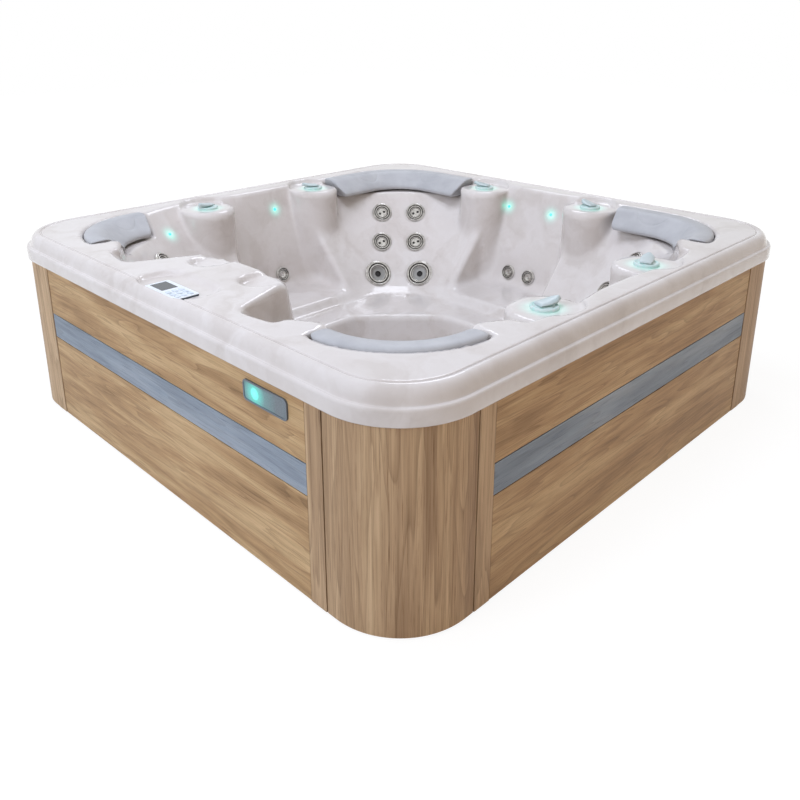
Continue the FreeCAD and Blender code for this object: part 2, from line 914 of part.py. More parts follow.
def jets():
    """Nine turning jet faces, and every jet's fixed body."""
    bodies = []
    for name, place, axis, radius in corner_jets() + side_jets():
        lift = jet_running_gap - jet_seat_sink
        face = jet_face(radius)
        save("jet_" + name, placed(face, place + axis * lift, axis))
        bodies.append(placed(jet_body(radius), place, axis))
    for name, place, axis, radius in hidden_jets():
        sleeve = radius * jet_body_share
        tube = Part.makeCylinder(sleeve, jet_body_length, Vec(0, 0, -jet_seat_sink - jet_body_length))
        rim = Part.makeCone(radius, radius * jet_rim_share, jet_face_height, Vec(0, 0, -jet_seat_sink))
        bodies.append(placed(tube.fuse(rim).removeSplitter(), place, axis))
    save("jet_bodies", group(bodies))


def lights():
    """Waterline light lenses pressed into the wall."""
    lenses = []
    for place, axis in light_places():
        lens = rod(light_radius, light_length + light_proud, place - axis * light_length, axis)
        lenses.append(lens)
    save("light_lenses", group(lenses))


def suction_places():
    """Places and axes of the two suction covers on the footwell's front wall."""
    depth = (corner_seat_height - suction_height) / (corner_seat_height - well_floor)
    reach = well_half - well_draft * depth
    tilt = math.atan(well_draft / (corner_seat_height - well_floor))
    axis = Vec(0, math.cos(tilt), math.sin(tilt))
    places = []
    for side in (-1, 1):
        places.append((Vec(side * suction_offset, -reach, suction_height), axis))
    return places


def suction_covers():
    """Domed suction covers with a grooved face, on the footwell's front wall."""
    covers = []
    for place, axis in suction_places():
        cover = rod(suction_radius, suction_proud, place, axis)
        cover = cover.makeChamfer(suction_proud / 2, edges_of_far_face(cover, place + axis * suction_proud, axis))
        cover = cover.fuse(rod(port_radius, shell_wall * 3, place - Vec(0, shell_wall * 3, 0), Vec(0, 1, 0)))
        for index in range(suction_slot_count):
            shift = (index - (suction_slot_count - 1) / 2) * suction_slot_width * 2
            slot = centered_box(suction_radius, suction_slot_width, suction_proud + overrun, 0, shift, suction_proud / 2)
            cover = cover.cut(placed(slot, place, axis))
        covers.append(cover)
    save("suction_covers", group(covers))


def edges_of_far_face(shape, place, axis):
    """Edges of the flat face that holds a place and looks along an axis."""
    for face in shape.Faces:
        if (face.CenterOfMass - place).Length < edge_match and abs(face.normalAt(0, 0).dot(axis)) > 0:
            return face.Edges
    return []


# Base and frame
def base_pan():
    """Moulded base pan, hollowed from below between ribs."""
    pan = rounded_block(board_back, board_back, cabinet_radius - board_thickness, 0, pan_height)
    cell = (2 * board_back - pan_rib_width * 4) / 3
    for column in (-1, 0, 1):
        for row in (-1, 0, 1):
            x = column * (cell + pan_rib_width)
            y = row * (cell + pan_rib_width)
            recess = rounded_block(cell / 2, cell / 2, pan_rib_width, -overrun, pan_recess)
            pan = pan.cut(moved(recess, x, y, 0))
    return pan


def frame():
    """Timber uprights behind the trim strips, with rails under the lip and behind the stripe."""
    uprights = []
    rails = []
    middle = (board_end + seam) / 2
    outer = -board_back
    inner = -board_back + upright_size
    end = middle - upright_size / 2
    for quarter in range(4):
        for side in (-1, 1):
            x = side * middle
            post = box(x - upright_size / 2, x + upright_size / 2, outer, inner, pan_height, lip_inner_height)
            uprights.append(turned(post, 90 * quarter))
        for top in (lip_inner_height, stripe_bottom + rail_height / 2):
            rails.append(turned(box(-end, end, outer, inner, top - rail_height, top), 90 * quarter))
    save("frame_uprights", group(uprights))
    save("frame_rails", group(rails))


# Machinery
def pump():
    """Pump motor on its foot, and the wet end with its two ports."""
    center_z = suction_height
    start = Vec(pump_x - motor_length, pump_y, center_z)
    motor = rod(motor_radius, motor_length, start, Vec(1, 0, 0))
    foot_top = center_z - motor_radius / 2
    foot = box(
        pump_x - motor_length + overrun,
        pump_x - overrun,
        pump_y - motor_radius / 2,
        pump_y + motor_radius / 2,
        machine_floor,
        foot_top,
    )
    save("pump_motor", motor.fuse(foot).removeSplitter())
    wet = rod(wet_end_radius, wet_end_length, Vec(pump_x, pump_y, center_z), Vec(1, 0, 0))
    inlet = rod(port_radius, port_length, Vec(pump_x + wet_end_length, pump_y, center_z), Vec(1, 0, 0))
    outlet_place = Vec(pump_x + wet_end_length / 2, pump_y, center_z + wet_end_radius / 2)
    outlet = rod(port_radius, port_length + wet_end_radius / 2, outlet_place, Vec(0, 0, 1))
    save("pump_wet_end", wet.fuse(inlet).fuse(outlet).removeSplitter())
    return Vec(pump_x + wet_end_length + port_length, pump_y, center_z), Vec(
        outlet_place.x, outlet_place.y, center_z + wet_end_radius + port_length
    )


def heater(outlet):
    """Heater tube with a flange at each end, level with the pump's outlet bend."""
    z = outlet.z + pipe_bend
    y = outlet.y
    start = Vec(heater_x, y, z)
    tube = rod(heater_radius, heater_length, start, Vec(1, 0, 0))
    for shift in (0, heater_length - heater_flange_length):
        tube = tube.fuse(rod(heater_flange_radius, heater_flange_length, start + Vec(shift, 0, 0), Vec(1, 0, 0)))
    save("heater_tube", tube.removeSplitter())
    return start


def bent_pipe(points):
    """Round pipe along straight runs joined by tangent arcs."""
    edges = []
    here = points[0]
    for index in range(1, len(points) - 1):
        corner = points[index]
        before = (points[index - 1] - corner).normalize()
        after = (points[index + 1] - corner).normalize()
        half_turn = before.getAngle(after) / 2
        reach = pipe_bend / math.tan(half_turn)
        first = corner + before * reach
        last = corner + after * reach
        bisector = (before + after).normalize()
        middle = corner + bisector * (pipe_bend / math.sin(half_turn) - pipe_bend)
        if (first - here).Length > edge_match:
            edges.append(Part.makeLine(here, first))
        edges.append(Part.Arc(first, middle, last).toShape())
        here = last
    edges.append(Part.makeLine(here, points[-1]))
    path = Part.Wire(edges)
    aim = (points[1] - points[0]).normalize()
    ring = Part.Wire(Part.makeCircle(pipe_radius, points[0], aim))
    return path.makePipeShell([ring], True, False)


def plumbing(inlet, outlet, heater_start, canister_top, canister_end):
    """Pipes: footwell to pump, pump to heater, heater to filter, and the ring to the jets."""
    left, right = [Vec(place.x, place.y - shell_wall * 3, place.z) for place, axis in suction_places()]
    level = left.z
    suction = bent_pipe([right, Vec(right.x, inlet.y, level), inlet])
    branch = rod(pipe_radius, left.y - inlet.y, left, Vec(0, -1, 0))
    suction = suction.fuse(branch).removeSplitter()
    pressure = bent_pipe([outlet, Vec(outlet.x, outlet.y, heater_start.z), heater_start])
    heater_end = heater_start + Vec(heater_length, 0, 0)
    feed = bent_pipe([heater_end, Vec(canister_top.x, canister_top.y, heater_end.z), canister_top])
    run = manifold_half
    ring = bent_pipe([
        canister_end,
        Vec(run, canister_end.y, canister_end.z),
        Vec(run, run, canister_end.z),
        Vec(-run, run, canister_end.z),
        Vec(-run, -pocket_center, canister_end.z),
    ])
    save("plumbing", group([suction, pressure, feed, ring]))


def control_box():
    """Control box with a lid, screwed to the front rails' inner face."""
    back = -board_back + upright_size
    base = box(
        control_box_x - control_box_width / 2,
        control_box_x + control_box_width / 2,
        back,
        back + control_box_depth - control_box_lid,
        control_box_bottom,
        control_box_bottom + control_box_height,
    )
    base = base.makeFillet(control_box_lid, [edge for edge in base.Edges if edge.BoundBox.YLength > control_box_lid])
    lid = rounded_block(control_box_width / 2, control_box_height / 2, control_box_lid * 2, 0, control_box_lid)
    place = Vec(control_box_x, back + control_box_depth, control_box_bottom + control_box_height / 2)
    lid.Placement = FreeCAD.Placement(place, FreeCAD.Rotation(Vec(1, 0, 0), 90))
    return base.fuse(lid).removeSplitter()


def filter_unit():
    """Canister lying beside the pump with its screw cap, and its cartridge."""
    z = machine_floor + canister_radius
    start = Vec(canister_x - canister_length / 2, pump_y, z)
    along = Vec(1, 0, 0)
    can = rod(canister_radius, canister_length, start, along)
    inner_start = start + along * canister_wall
    inner_length = canister_length - canister_wall * 2
    can = can.cut(rod(canister_radius - canister_wall, inner_length, inner_start, along))
    top = Vec(canister_x, pump_y, z + canister_radius + port_length)
    port = rod(port_radius, port_length + canister_wall, top, Vec(0, 0, -1))
    save("filter_canister", can.fuse(port).removeSplitter())
    cartridge = rod(cartridge_radius, inner_length, inner_start, along)
    save("filter_cartridge", cartridge.cut(rod(cartridge_bore, canister_length, start, along)))
    return top, start + along * canister_length


def fittings():
    """Drain valve and cable gland on the back lower board."""
    face = Vec(fitting_x, cabinet_half, drain_z)
    back = Vec(0, 1, 0)
    body = rod(drain_radius, board_thickness + overrun, face - back * (board_thickness + overrun), back)
    flange = rod(drain_flange_radius, drain_flange_thickness, face, back)
    cap = rod(drain_radius, drain_cap_length, face, back)
    save("drain_valve", body.fuse(flange).fuse(cap).removeSplitter())
    face = Vec(-fitting_x, cabinet_half, gland_z)
    stem = rod(gland_radius, board_thickness + gland_tail, face - back * (board_thickness + gland_tail), back)
    nut = Part.makePolygon([
        Vec(gland_nut_radius * math.cos(math.radians(60 * k)), gland_nut_radius * math.sin(math.radians(60 * k)), 0)
        for k in range(7)
    ])
    nut = Part.Face(nut).extrude(Vec(0, 0, gland_nut_length))
    nut.Placement = FreeCAD.Placement(face, FreeCAD.Rotation(Vec(0, 0, 1), back))
    save("cable_gland", stem.fuse(nut).removeSplitter())


def main():
    """Build and write every piece."""
    os.makedirs("parts", exist_ok=True)
    save("acrylic_shell", acrylic_shell())
    for name, turn, ends in pillow_specs():
        save(name, turned(pillow_solid(ends), turn))
    control_panel()
    cabinet()
    marker()
    levers()
    jets()
    lights()
    suction_covers()
    save("base_pan", base_pan())
    frame()
    inlet, outlet = pump()
    heater_start = heater(outlet)
    canister_top, canister_end = filter_unit()
    plumbing(inlet, outlet, heater_start, canister_top, canister_end)
    save("control_box", control_box())
    fittings()


main()
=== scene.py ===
import logging
import math
from dataclasses import dataclass
from enum import Enum
from typing import Dict, List, Optional, Sequence, Tuple

import bpy
import numpy as np
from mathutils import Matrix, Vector


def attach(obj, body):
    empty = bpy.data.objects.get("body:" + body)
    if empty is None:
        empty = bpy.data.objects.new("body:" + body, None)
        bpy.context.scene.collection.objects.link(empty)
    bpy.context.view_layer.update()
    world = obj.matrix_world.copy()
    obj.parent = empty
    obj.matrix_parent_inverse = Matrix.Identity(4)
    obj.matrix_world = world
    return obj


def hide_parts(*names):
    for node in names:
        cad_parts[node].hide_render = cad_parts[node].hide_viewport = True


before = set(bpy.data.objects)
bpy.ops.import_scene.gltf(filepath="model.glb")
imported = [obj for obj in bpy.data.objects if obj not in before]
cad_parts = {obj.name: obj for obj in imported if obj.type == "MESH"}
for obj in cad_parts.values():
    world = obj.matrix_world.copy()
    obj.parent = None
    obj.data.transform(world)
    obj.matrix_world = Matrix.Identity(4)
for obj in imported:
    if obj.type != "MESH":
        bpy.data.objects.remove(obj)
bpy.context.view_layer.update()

log = logging.getLogger("hot_tub")

Array = np.ndarray
Colour = Tuple[float, float, float, float]


# Colours and nodes


def linear(code: str) -> Colour:
    """Turn an sRGB hex colour into linear light.

    Args:
        code: Colour as #rrggbb.

    Returns:
        Linear red, green, blue and an alpha of one.
    """
    parts = [int(code[k:k + 2], 16) / 255 for k in (1, 3, 5)]
    lit = [p / 12.92 if p <= 0.04045 else ((p + 0.055) / 1.055) ** 2.4 for p in parts]
    return (lit[0], lit[1], lit[2], 1.0)


def add_node(
    tree: bpy.types.NodeTree, kind: str, sockets: Optional[dict] = None, **settings: object
) -> bpy.types.Node:
    """Add one node with its settings, values and links.

    Args:
        tree: Node tree that gets the node.
        kind: Blender's type name of the node.
        sockets: Input name or number to a value, or to an output socket to link.
        settings: Properties of the node itself.

    Returns:
        The new node.
    """
    node = tree.nodes.new(kind)
    for name, value in settings.items():
        setattr(node, name, value)
    for name, value in (sockets or {}).items():
        if isinstance(value, bpy.types.NodeSocket):
            tree.links.new(value, node.inputs[name])
        else:
            node.inputs[name].default_value = value
    return node


def ramp(tree: bpy.types.NodeTree, factor: bpy.types.NodeSocket, *stops: Tuple[float, str]) -> bpy.types.NodeSocket:
    """Colour ramp through hex colours.

    Args:
        tree: Node tree that gets the ramp.
        factor: Socket that drives the ramp.
        stops: Places from 0 to 1 with their colours, at least two.

    Returns:
        The ramp's colour output.
    """
    node = add_node(tree, "ShaderNodeValToRGB", {"Fac": factor})
    band = node.color_ramp
    for element, (place, code) in zip(band.elements, (stops[0], stops[-1])):
        element.position, element.color = place, linear(code)
    for place, code in stops[1:-1]:
        band.elements.new(place).color = linear(code)
    return node.outputs["Color"]


def start_material(name: str, **values: object) -> Tuple[bpy.types.Material, bpy.types.NodeTree, bpy.types.Node]:
    """Empty node material with a Principled shader on its output.

    Args:
        name: Name of the real material.
        values: Constants for the shader's own sockets, by their names with low lines for spaces.

    Returns:
        The material, its tree and its shader node.
    """
    material = bpy.data.materials.new(name)
    material.use_nodes = True
    tree = material.node_tree
    tree.nodes.clear()
    shader = add_node(tree, "ShaderNodeBsdfPrincipled", {key.replace("_", " "): value for key, value in values.items()})
    add_node(tree, "ShaderNodeOutputMaterial", {"Surface": shader.outputs["BSDF"]})
    return material, tree, shader


def object_place(tree: bpy.types.NodeTree) -> bpy.types.NodeSocket:
    """Object coordinates, in metres."""
    return add_node(tree, "ShaderNodeTexCoord").outputs["Object"]


def stretched(
    tree: bpy.types.NodeTree, scale: Tuple[float, float, float], source: Optional[bpy.types.NodeSocket] = None
) -> bpy.types.NodeSocket:
    """Object coordinates, stretched by a scale on each axis.

    Args:
        tree: Node tree that gets the nodes.
        scale: Repeats per metre on x, y and z.
        source: Coordinates to stretch in place of the object's.

    Returns:
        The stretched coordinates.
    """
    inputs = {"Vector": source or object_place(tree), "Scale": scale}
    return add_node(tree, "ShaderNodeMapping", inputs).outputs["Vector"]


def noise(
    tree: bpy.types.NodeTree, place: bpy.types.NodeSocket, scale: float, detail: float = 2.0, **more: float
) -> bpy.types.NodeSocket:
    """Cloudy noise from 0 to 1.

    Args:
        tree: Node tree that gets the node.
        place: Coordinates that the noise follows.
        scale: Clouds in a unit of the coordinates.
        detail: Finer layers of noise on top of the clouds.
        more: Other inputs of the node, by name.

    Returns:
        The noise as a socket.
    """
    inputs = {"Vector": place, "Scale": scale, "Detail": detail, **more}
    return add_node(tree, "ShaderNodeTexNoise", inputs).outputs["Fac"]


def relief(tree: bpy.types.NodeTree, shader: bpy.types.Node, height: bpy.types.NodeSocket, depth: float) -> None:
    """Bump the surface by a height pattern.

    Args:
        tree: Node tree of the material.
        shader: Shader whose normal is bumped.
        height: Pattern from 0 to 1.
        depth: Height of the pattern in metres.
    """
    bump = add_node(tree, "ShaderNodeBump", {"Height": height, "Distance": depth, "Strength": 1.0})
    tree.links.new(bump.outputs["Normal"], shader.inputs["Normal"])


# Finishes


@dataclass(frozen=True)
class PearlAcrylic:
    """Cast acrylic sheet, vacuum formed: a deep gloss over pale pearl marbling."""

    ground: str = "#d7d0cb"
    cloud: str = "#ddd7d3"
    vein: str = "#cfc7c1"
    glow: str = "#3fe0cc"
    roughness: float = 0.10

    def make(self) -> bpy.types.Material:
        """Build the material: soft clouds and long faint veins some 60 mm apart under a clear coat.

        Where a light sits behind the sheet, the lit_from_behind attribute makes it glow.

        Returns:
            The material.
        """
        material, tree, shader = start_material(
            "cast_acrylic_pearl_marble", Roughness=self.roughness, IOR=1.49,
            Coat_Weight=0.35, Coat_Roughness=0.03, Emission_Color=linear(self.glow),
        )
        along = stretched(tree, (2.2, 2.2, 2.0))
        warp = add_node(tree, "ShaderNodeTexNoise", {"Vector": along, "Scale": 1.4, "Detail": 5.0, "Roughness": 0.6})
        bent = add_node(tree, "ShaderNodeVectorMath", {0: along, 1: warp.outputs["Color"]}, operation="ADD")
        veins = noise(tree, bent.outputs["Vector"], 2.2, 5.0, Distortion=0.8)
        colour = ramp(tree, veins, (0.34, self.vein), (0.46, self.ground), (0.60, self.cloud), (0.72, self.ground))
        tree.links.new(colour, shader.inputs["Base Color"])
        relief(tree, shader, noise(tree, object_place(tree), 14.0), 0.0006)
        lit = add_node(tree, "ShaderNodeAttribute", attribute_name="lit_from_behind").outputs["Fac"]
        tree.links.new(lit, shader.inputs["Emission Strength"])
        return material


class Grain(Enum):
    """Which way a board's grain runs."""

    LEVEL = "level"
    UPRIGHT = "upright"


@dataclass(frozen=True)
class BoardFinish:
    """Wood-look board, satin lacquered, with long fibres, darker bands and fine pores."""

    name: str
    grain: Grain
    dark: str
    middle: str
    light: str
    pore: str
    roughness: float = 0.48
    figure: float = 0.52

    def make(self) -> bpy.types.Material:
        """Build the material, with every pattern drawn out along the grain.

        Heartwood bands are some 60 mm wide, year rings 15 mm apart, fibres 3 mm and pores 1 mm. The
        rings are the fraction of a slow noise times nine. Each layer darkens the one below it.

        Returns:
            The material.
        """
        material, tree, shader = start_material(self.name, Roughness=self.roughness, Specular_IOR_Level=0.22)
        place = object_place(tree)
        if self.grain is Grain.LEVEL:
            split = add_node(tree, "ShaderNodeSeparateXYZ", {"Vector": place})
            along = add_node(tree, "ShaderNodeMath", {0: split.outputs["X"], 1: split.outputs["Y"]}, operation="ADD")
            joined_up = {"X": along.outputs["Value"], "Z": split.outputs["Z"]}
            place = add_node(tree, "ShaderNodeCombineXYZ", joined_up).outputs["Vector"]
            heart, band, fibre, pore = (1.6, 1.0, 13.0), (1.1, 1.0, 17.0), (6.0, 1.0, 260.0), (9.0, 1.0, 520.0)
        else:
            heart, band, fibre, pore = (17.0, 17.0, 0.7), (13.0, 13.0, 0.9), (190.0, 190.0, 2.6), (420.0, 420.0, 7.0)
        tone, wander, streak, fine = (
            noise(tree, stretched(tree, scale, place), 1.0, detail, Roughness=rough, Distortion=bend)
            for scale, detail, rough, bend in (
                (heart, 3.0, 0.55, 0.6), (band, 2.0, 0.4, 0.5), (fibre, 5.0, 0.72, 0.0), (pore, 3.0, 0.6, 0.0),
            )
        )
        rings = add_node(tree, "ShaderNodeMath", {0: wander, 1: 9.0}, operation="MULTIPLY").outputs["Value"]
        rings = add_node(tree, "ShaderNodeMath", {0: rings}, operation="FRACT").outputs["Value"]
        colour = ramp(tree, tone, (0.32, self.dark), (0.47, self.middle), (0.62, self.light))
        year = ramp(
            tree, rings, (0.0, "#ffffff"), (0.50, "#f3f0ed"), (0.84, "#d6cec6"), (0.95, "#b6aba0"), (1.0, "#ffffff"),
        )
        lines = ramp(tree, streak, (0.34, "#c5bdb5"), (0.50, "#f1eeea"), (0.64, "#ffffff"))
        holes = ramp(tree, fine, (0.34, self.pore), (0.42, "#ffffff"))
        for share, layer in ((self.figure, year), (self.figure * 1.25, lines), (0.55, holes)):
            inputs = {"Factor": share, "A": colour, "B": layer}
            mix = add_node(tree, "ShaderNodeMix", inputs, data_type="RGBA", blend_type="MULTIPLY")
            colour = mix.outputs["Result"]
        tree.links.new(colour, shader.inputs["Base Color"])
        relief(tree, shader, streak, 0.0005)
        return material


@dataclass(frozen=True)
class MouldedPlastic:
    """Injection moulded plastic with a spark-eroded grain."""

    name: str
    tint: str
    shade: str
    roughness: float = 0.45
    grit: float = 900.0
    depth: float = 0.00008

    def make(self) -> bpy.types.Material:
        """Build the material: a slight drift of tone, and a fine grain of about a millimetre.

        Returns:
            The material.
        """
        material, tree, shader = start_material(self.name, Roughness=self.roughness)
        spot = object_place(tree)
        colour = ramp(tree, noise(tree, spot, 9.0, 3.0), (0.35, self.shade), (0.65, self.tint))
        tree.links.new(colour, shader.inputs["Base Color"])
        relief(tree, shader, noise(tree, spot, self.grit, 1.0), self.depth)
        return material


@dataclass(frozen=True)
class FoamSkin:
    """Integral-skin foam, moulded: smooth, soft and faintly dimpled."""

    tint: str = "#bcbdbf"
    shade: str = "#afb0b3"

    def make(self) -> bpy.types.Material:
        """Build the material: cloudy grey with a 2 mm leather dimple and a low sheen.

        Returns:
            The material.
        """
        material, tree, shader = start_material("integral_skin_foam", Roughness=0.42)
        spot = object_place(tree)
        dimple = add_node(tree, "ShaderNodeTexVoronoi", {"Vector": spot, "Scale": 420.0})
        colour = ramp(tree, noise(tree, spot, 12.0, 6.0, Roughness=0.6), (0.35, self.shade), (0.65, self.tint))
        tree.links.new(colour, shader.inputs["Base Color"])
        relief(tree, shader, dimple.outputs["Distance"], 0.00012)
        return material


@dataclass(frozen=True)
class TurnedStainless:
    """Stainless steel, spun and turned: a clean grey metal."""

    name: str = "turned_stainless_steel"
    tint: str = "#d6d4d1"
    shade: str = "#bbb9b6"
    roughness: float = 0.19

    def make(self) -> bpy.types.Material:
        """Build the material: grey metal with small smears and a light 1 mm brushing.

        Returns:
            The material.
        """
        material, tree, shader = start_material(self.name, Metallic=1.0, Roughness=self.roughness)
        spot = object_place(tree)
        colour = ramp(tree, noise(tree, spot, 60.0, 4.0), (0.35, self.shade), (0.65, self.tint))
        tree.links.new(colour, shader.inputs["Base Color"])
        relief(tree, shader, noise(tree, spot, 1400.0), 0.00003)
        return material


@dataclass(frozen=True)
class LitResin:
    """Translucent resin lit from behind by a teal diode."""

    name: str
    tint: str
    glow: str
    strength: float

    def make(self) -> bpy.types.Material:
        """Build the material: pale resin whose tone drifts a little from place to place.

        Returns:
            The material.
        """
        material, tree, shader = start_material(
            self.name, Roughness=0.2, Emission_Color=linear(self.glow), Emission_Strength=self.strength,
        )
        colour = ramp(tree, noise(tree, object_place(tree), 70.0), (0.3, self.glow), (0.7, self.tint))
        tree.links.new(colour, shader.inputs["Base Color"])
        return material


@dataclass(frozen=True)
class PanelPlastic:
    """ABS slab: white printed face on top, dark rubber skirt round the side."""

    face_level: float

    def make(self) -> bpy.types.Material:
        """Build the material: the change from skirt to face follows the height on the slab.

        Returns:
            The material.
        """
        material, tree, shader = start_material("abs_panel_face_and_skirt", Roughness=0.35)
        spot = object_place(tree)
        split = add_node(tree, "ShaderNodeSeparateXYZ", {"Vector": spot})
        above = add_node(tree, "ShaderNodeMath", {0: split.outputs["Z"], 1: self.face_level}, operation="GREATER_THAN")
        speck = noise(tree, spot, 300.0)
        sides = {
            "Factor": above.outputs["Value"],
            "A": ramp(tree, speck, (0.3, "#39434d"), (0.7, "#4a5560")),
            "B": ramp(tree, speck, (0.3, "#e2e8ee"), (0.7, "#eef3f7")),
        }
        both = add_node(tree, "ShaderNodeMix", sides, data_type="RGBA")
        tree.links.new(both.outputs["Result"], shader.inputs["Base Color"])
        relief(tree, shader, speck, 0.00005)
        return material


@dataclass(frozen=True)
class DisplayWindow:
    """Hard-coated acrylic window over a liquid crystal display that is off."""

    def make(self) -> bpy.types.Material:
        """Build the material: slate blue behind a clear coat, with a faint cell raster of 1 mm.

        Returns:
            The material.
        """
        material, tree, shader = start_material(
            "display_window_acrylic", Roughness=0.2, Coat_Weight=0.2, Coat_Roughness=0.05,
        )
        cells = add_node(tree, "ShaderNodeTexChecker", {
            "Vector": object_place(tree), "Scale": 900.0, "Color1": linear("#26313b"), "Color2": linear("#2d3945"),
        })
        tree.links.new(cells.outputs["Color"], shader.inputs["Base Color"])
        return material


@dataclass(frozen=True)
class MarkerWindow:
    """Smoked polycarbonate window with one round diode behind it that lights the sheet around it."""

    place: Tuple[float, float, float] = (0.552, 0.0, 0.546)

    def make(self) -> bpy.types.Material:
        """Build the material: a bright disc of 32 mm whose halo fades out over 90 mm of grey sheet.

        The glow's ramp runs over 100 mm from the middle of the disc.

        Returns:
            The material.
        """
        material, tree, shader = start_material("smoked_polycarbonate_window", Roughness=0.25, Emission_Strength=1.0)
        split = add_node(tree, "ShaderNodeSeparateXYZ", {"Vector": object_place(tree)})
        flat = add_node(tree, "ShaderNodeCombineXYZ", {"X": split.outputs["X"], "Z": split.outputs["Z"]})
        far = add_node(tree, "ShaderNodeVectorMath", {0: flat.outputs["Vector"], 1: self.place}, operation="DISTANCE")
        share = add_node(tree, "ShaderNodeMath", {0: far.outputs["Value"], 1: 10.0}, operation="MULTIPLY")
        sheet = ramp(tree, noise(tree, object_place(tree), 500.0), (0.3, "#626d70"), (0.7, "#76828a"))
        glow = ramp(
            tree, share.outputs["Value"],
            (0.0, "#6af9e6"), (0.15, "#43efda"), (0.19, "#20b5a6"), (0.45, "#115a56"), (0.95, "#000000"),
        )
        tree.links.new(sheet, shader.inputs["Base Color"])
        tree.links.new(glow, shader.inputs["Emission Color"])
        return material


# Surfaces


def smooth_max(a: Array, b: Array, k: float) -> Array:
    """Larger of two fields, with the crease between them rounded over a width.

    The blend is b + (a - b)h + k h(1 - h), where h runs from 0 to 1 as a - b runs from -k to k.

    Args:
        a: First field.
        b: Second field.
        k: Half width of the rounding, in metres.

    Returns:
        The blended field.
    """
    h = np.clip(0.5 + 0.5 * (a - b) / k, 0, 1)
    return b + (a - b) * h + k * h * (1 - h)


def smooth_min(a: Array, b: Array, k: float) -> Array:
    """Smaller of two fields, rounded in the same way as the larger one."""
    return -smooth_max(-a, -b, k)


def outside_rounded(x: Array, y: Array, half_x: float, half_y: float, radius: float) -> Array:
    """Distance outside a rounded rectangle about the origin, negative inside.

    Args:
        x: Places across.
        y: Places along.
        half_x: Half width.
        half_y: Half length.
        radius: Corner radius.

    Returns:
        Signed distance.
    """
    qx = np.abs(x) - half_x + radius
    qy = np.abs(y) - half_y + radius
    outer = np.hypot(np.maximum(qx, 0), np.maximum(qy, 0))
    return outer + np.minimum(np.maximum(qx, qy), 0) - radius


def rounded_square(half: float, radius: float, count: int) -> Array:
    """Points spread evenly on a rounded square, as straight runs and quarter arcs by their length.

    Args:
        half: Half the side.
        radius: Corner radius.
        count: Number of points, a multiple of eight.

    Returns:
        Points x, y, starting in the middle of the +X, -Y corner's arc and going anticlockwise.
    """
    straight = 2 * (half - radius)
    arc = radius * math.pi / 2
    side = straight + arc
    s = (np.arange(count) / count * 4 * side + arc / 2) % (4 * side)
    quarter = np.floor(s / side).astype(int)
    part = s - quarter * side
    on_arc = part < arc
    angle = np.where(on_arc, part / radius, math.pi / 2)
    run = np.where(on_arc, 0.0, part - arc)
    x = (half - radius) + radius * np.sin(angle)
    y = -(half - radius) - radius * np.cos(angle) + run
    turn = quarter * math.pi / 2
    return np.stack([x * np.cos(turn) - y * np.sin(turn), x * np.sin(turn) + y * np.cos(turn)], 1)


def grid_faces(rows: int, columns: int, closed: bool, start: int = 0) -> Array:
    """Quads of a grid of points stored row by row.

    Args:
        rows: Number of rows.
        columns: Number of points in a row.
        closed: Whether each row closes on itself.
        start: Index of the grid's first point.

    Returns:
        Four indices for each quad.
    """
    across = np.arange(columns if closed else columns - 1)
    first = (np.arange(rows - 1) * columns)[:, None] + across[None, :]
    beside = (np.arange(rows - 1) * columns)[:, None] + ((across + 1) % columns)[None, :]
    return np.stack([first, beside, beside + columns, first + columns], -1).reshape(-1, 4) + start


def make_piece(
    name: str, points: Array, quads: Array, triangles: Optional[Array] = None, tags: Optional[Array] = None
) -> bpy.types.Object:
    """Put arrays of points and faces into a mesh object at the origin, with smooth shading.

    Args:
        name: Name of the piece.
        points: Places of the points.
        quads: Four indices for each quad.
        triangles: Three indices for each triangle.
        tags: Material number of each face, quads first.

    Returns:
        The new object.
    """
    mesh = bpy.data.meshes.new(name)
    faces = quads.tolist() + (triangles.tolist() if triangles is not None else [])
    mesh.from_pydata(points.tolist(), [], faces)
    mesh.polygons.foreach_set("use_smooth", [True] * len(mesh.polygons))
    if tags is not None:
        mesh.polygons.foreach_set("material_index", tags.astype(np.int32))
    mesh.update()
    piece = bpy.data.objects.new(name, mesh)
    bpy.context.scene.collection.objects.link(piece)
    return piece


def tube(rings: Array) -> Tuple[Array, Array, Array]:
    """Close a stack of closed rings with a fan at each end.

    Args:
        rings: Places by ring and by point on the ring.

    Returns:
        Points, quads and triangles.
    """
    rows, columns = rings.shape[:2]
    points = np.concatenate([rings.reshape(-1, 3), rings[0].mean(0)[None], rings[-1].mean(0)[None]])
    k = np.arange(columns)
    first = np.stack([np.full(columns, rows * columns), (k + 1) % columns, k], 1)
    base = (rows - 1) * columns
    last = np.stack([np.full(columns, rows * columns + 1), base + k, base + (k + 1) % columns], 1)
    return points, grid_faces(rows, columns, True), np.concatenate([first, last])


def turned(steps: Array, segments: int) -> Array:
    """Rings of an outline turned about the z axis.

    A ring's points are (r cos a, r sin a, h) for the outline's radius r and height h.

    Args:
        steps: Radius and height of each ring.
        segments: Points on a ring.

    Returns:
        Places by ring and by point on the ring.
    """
    angle = np.arange(segments) / segments * 2 * math.pi
    radius, height = steps[:, :1], steps[:, 1:]
    return np.stack([radius * np.cos(angle), radius * np.sin(angle), height * np.ones(segments)], -1)


def joined(parts: Sequence[Tuple[Array, ...]]) -> Tuple[Array, Array, Array]:
    """Join several meshes into one.

    Args:
        parts: Points, quads and triangles of each mesh; what follows them is left out.

    Returns:
        All the points, quads and triangles.
    """
    shift = np.cumsum([0] + [len(part[0]) for part in parts[:-1]])
    quads, triangles = (np.concatenate([part[k] + step for part, step in zip(parts, shift)]) for k in (1, 2))
    return np.concatenate([part[0] for part in parts]), quads, triangles


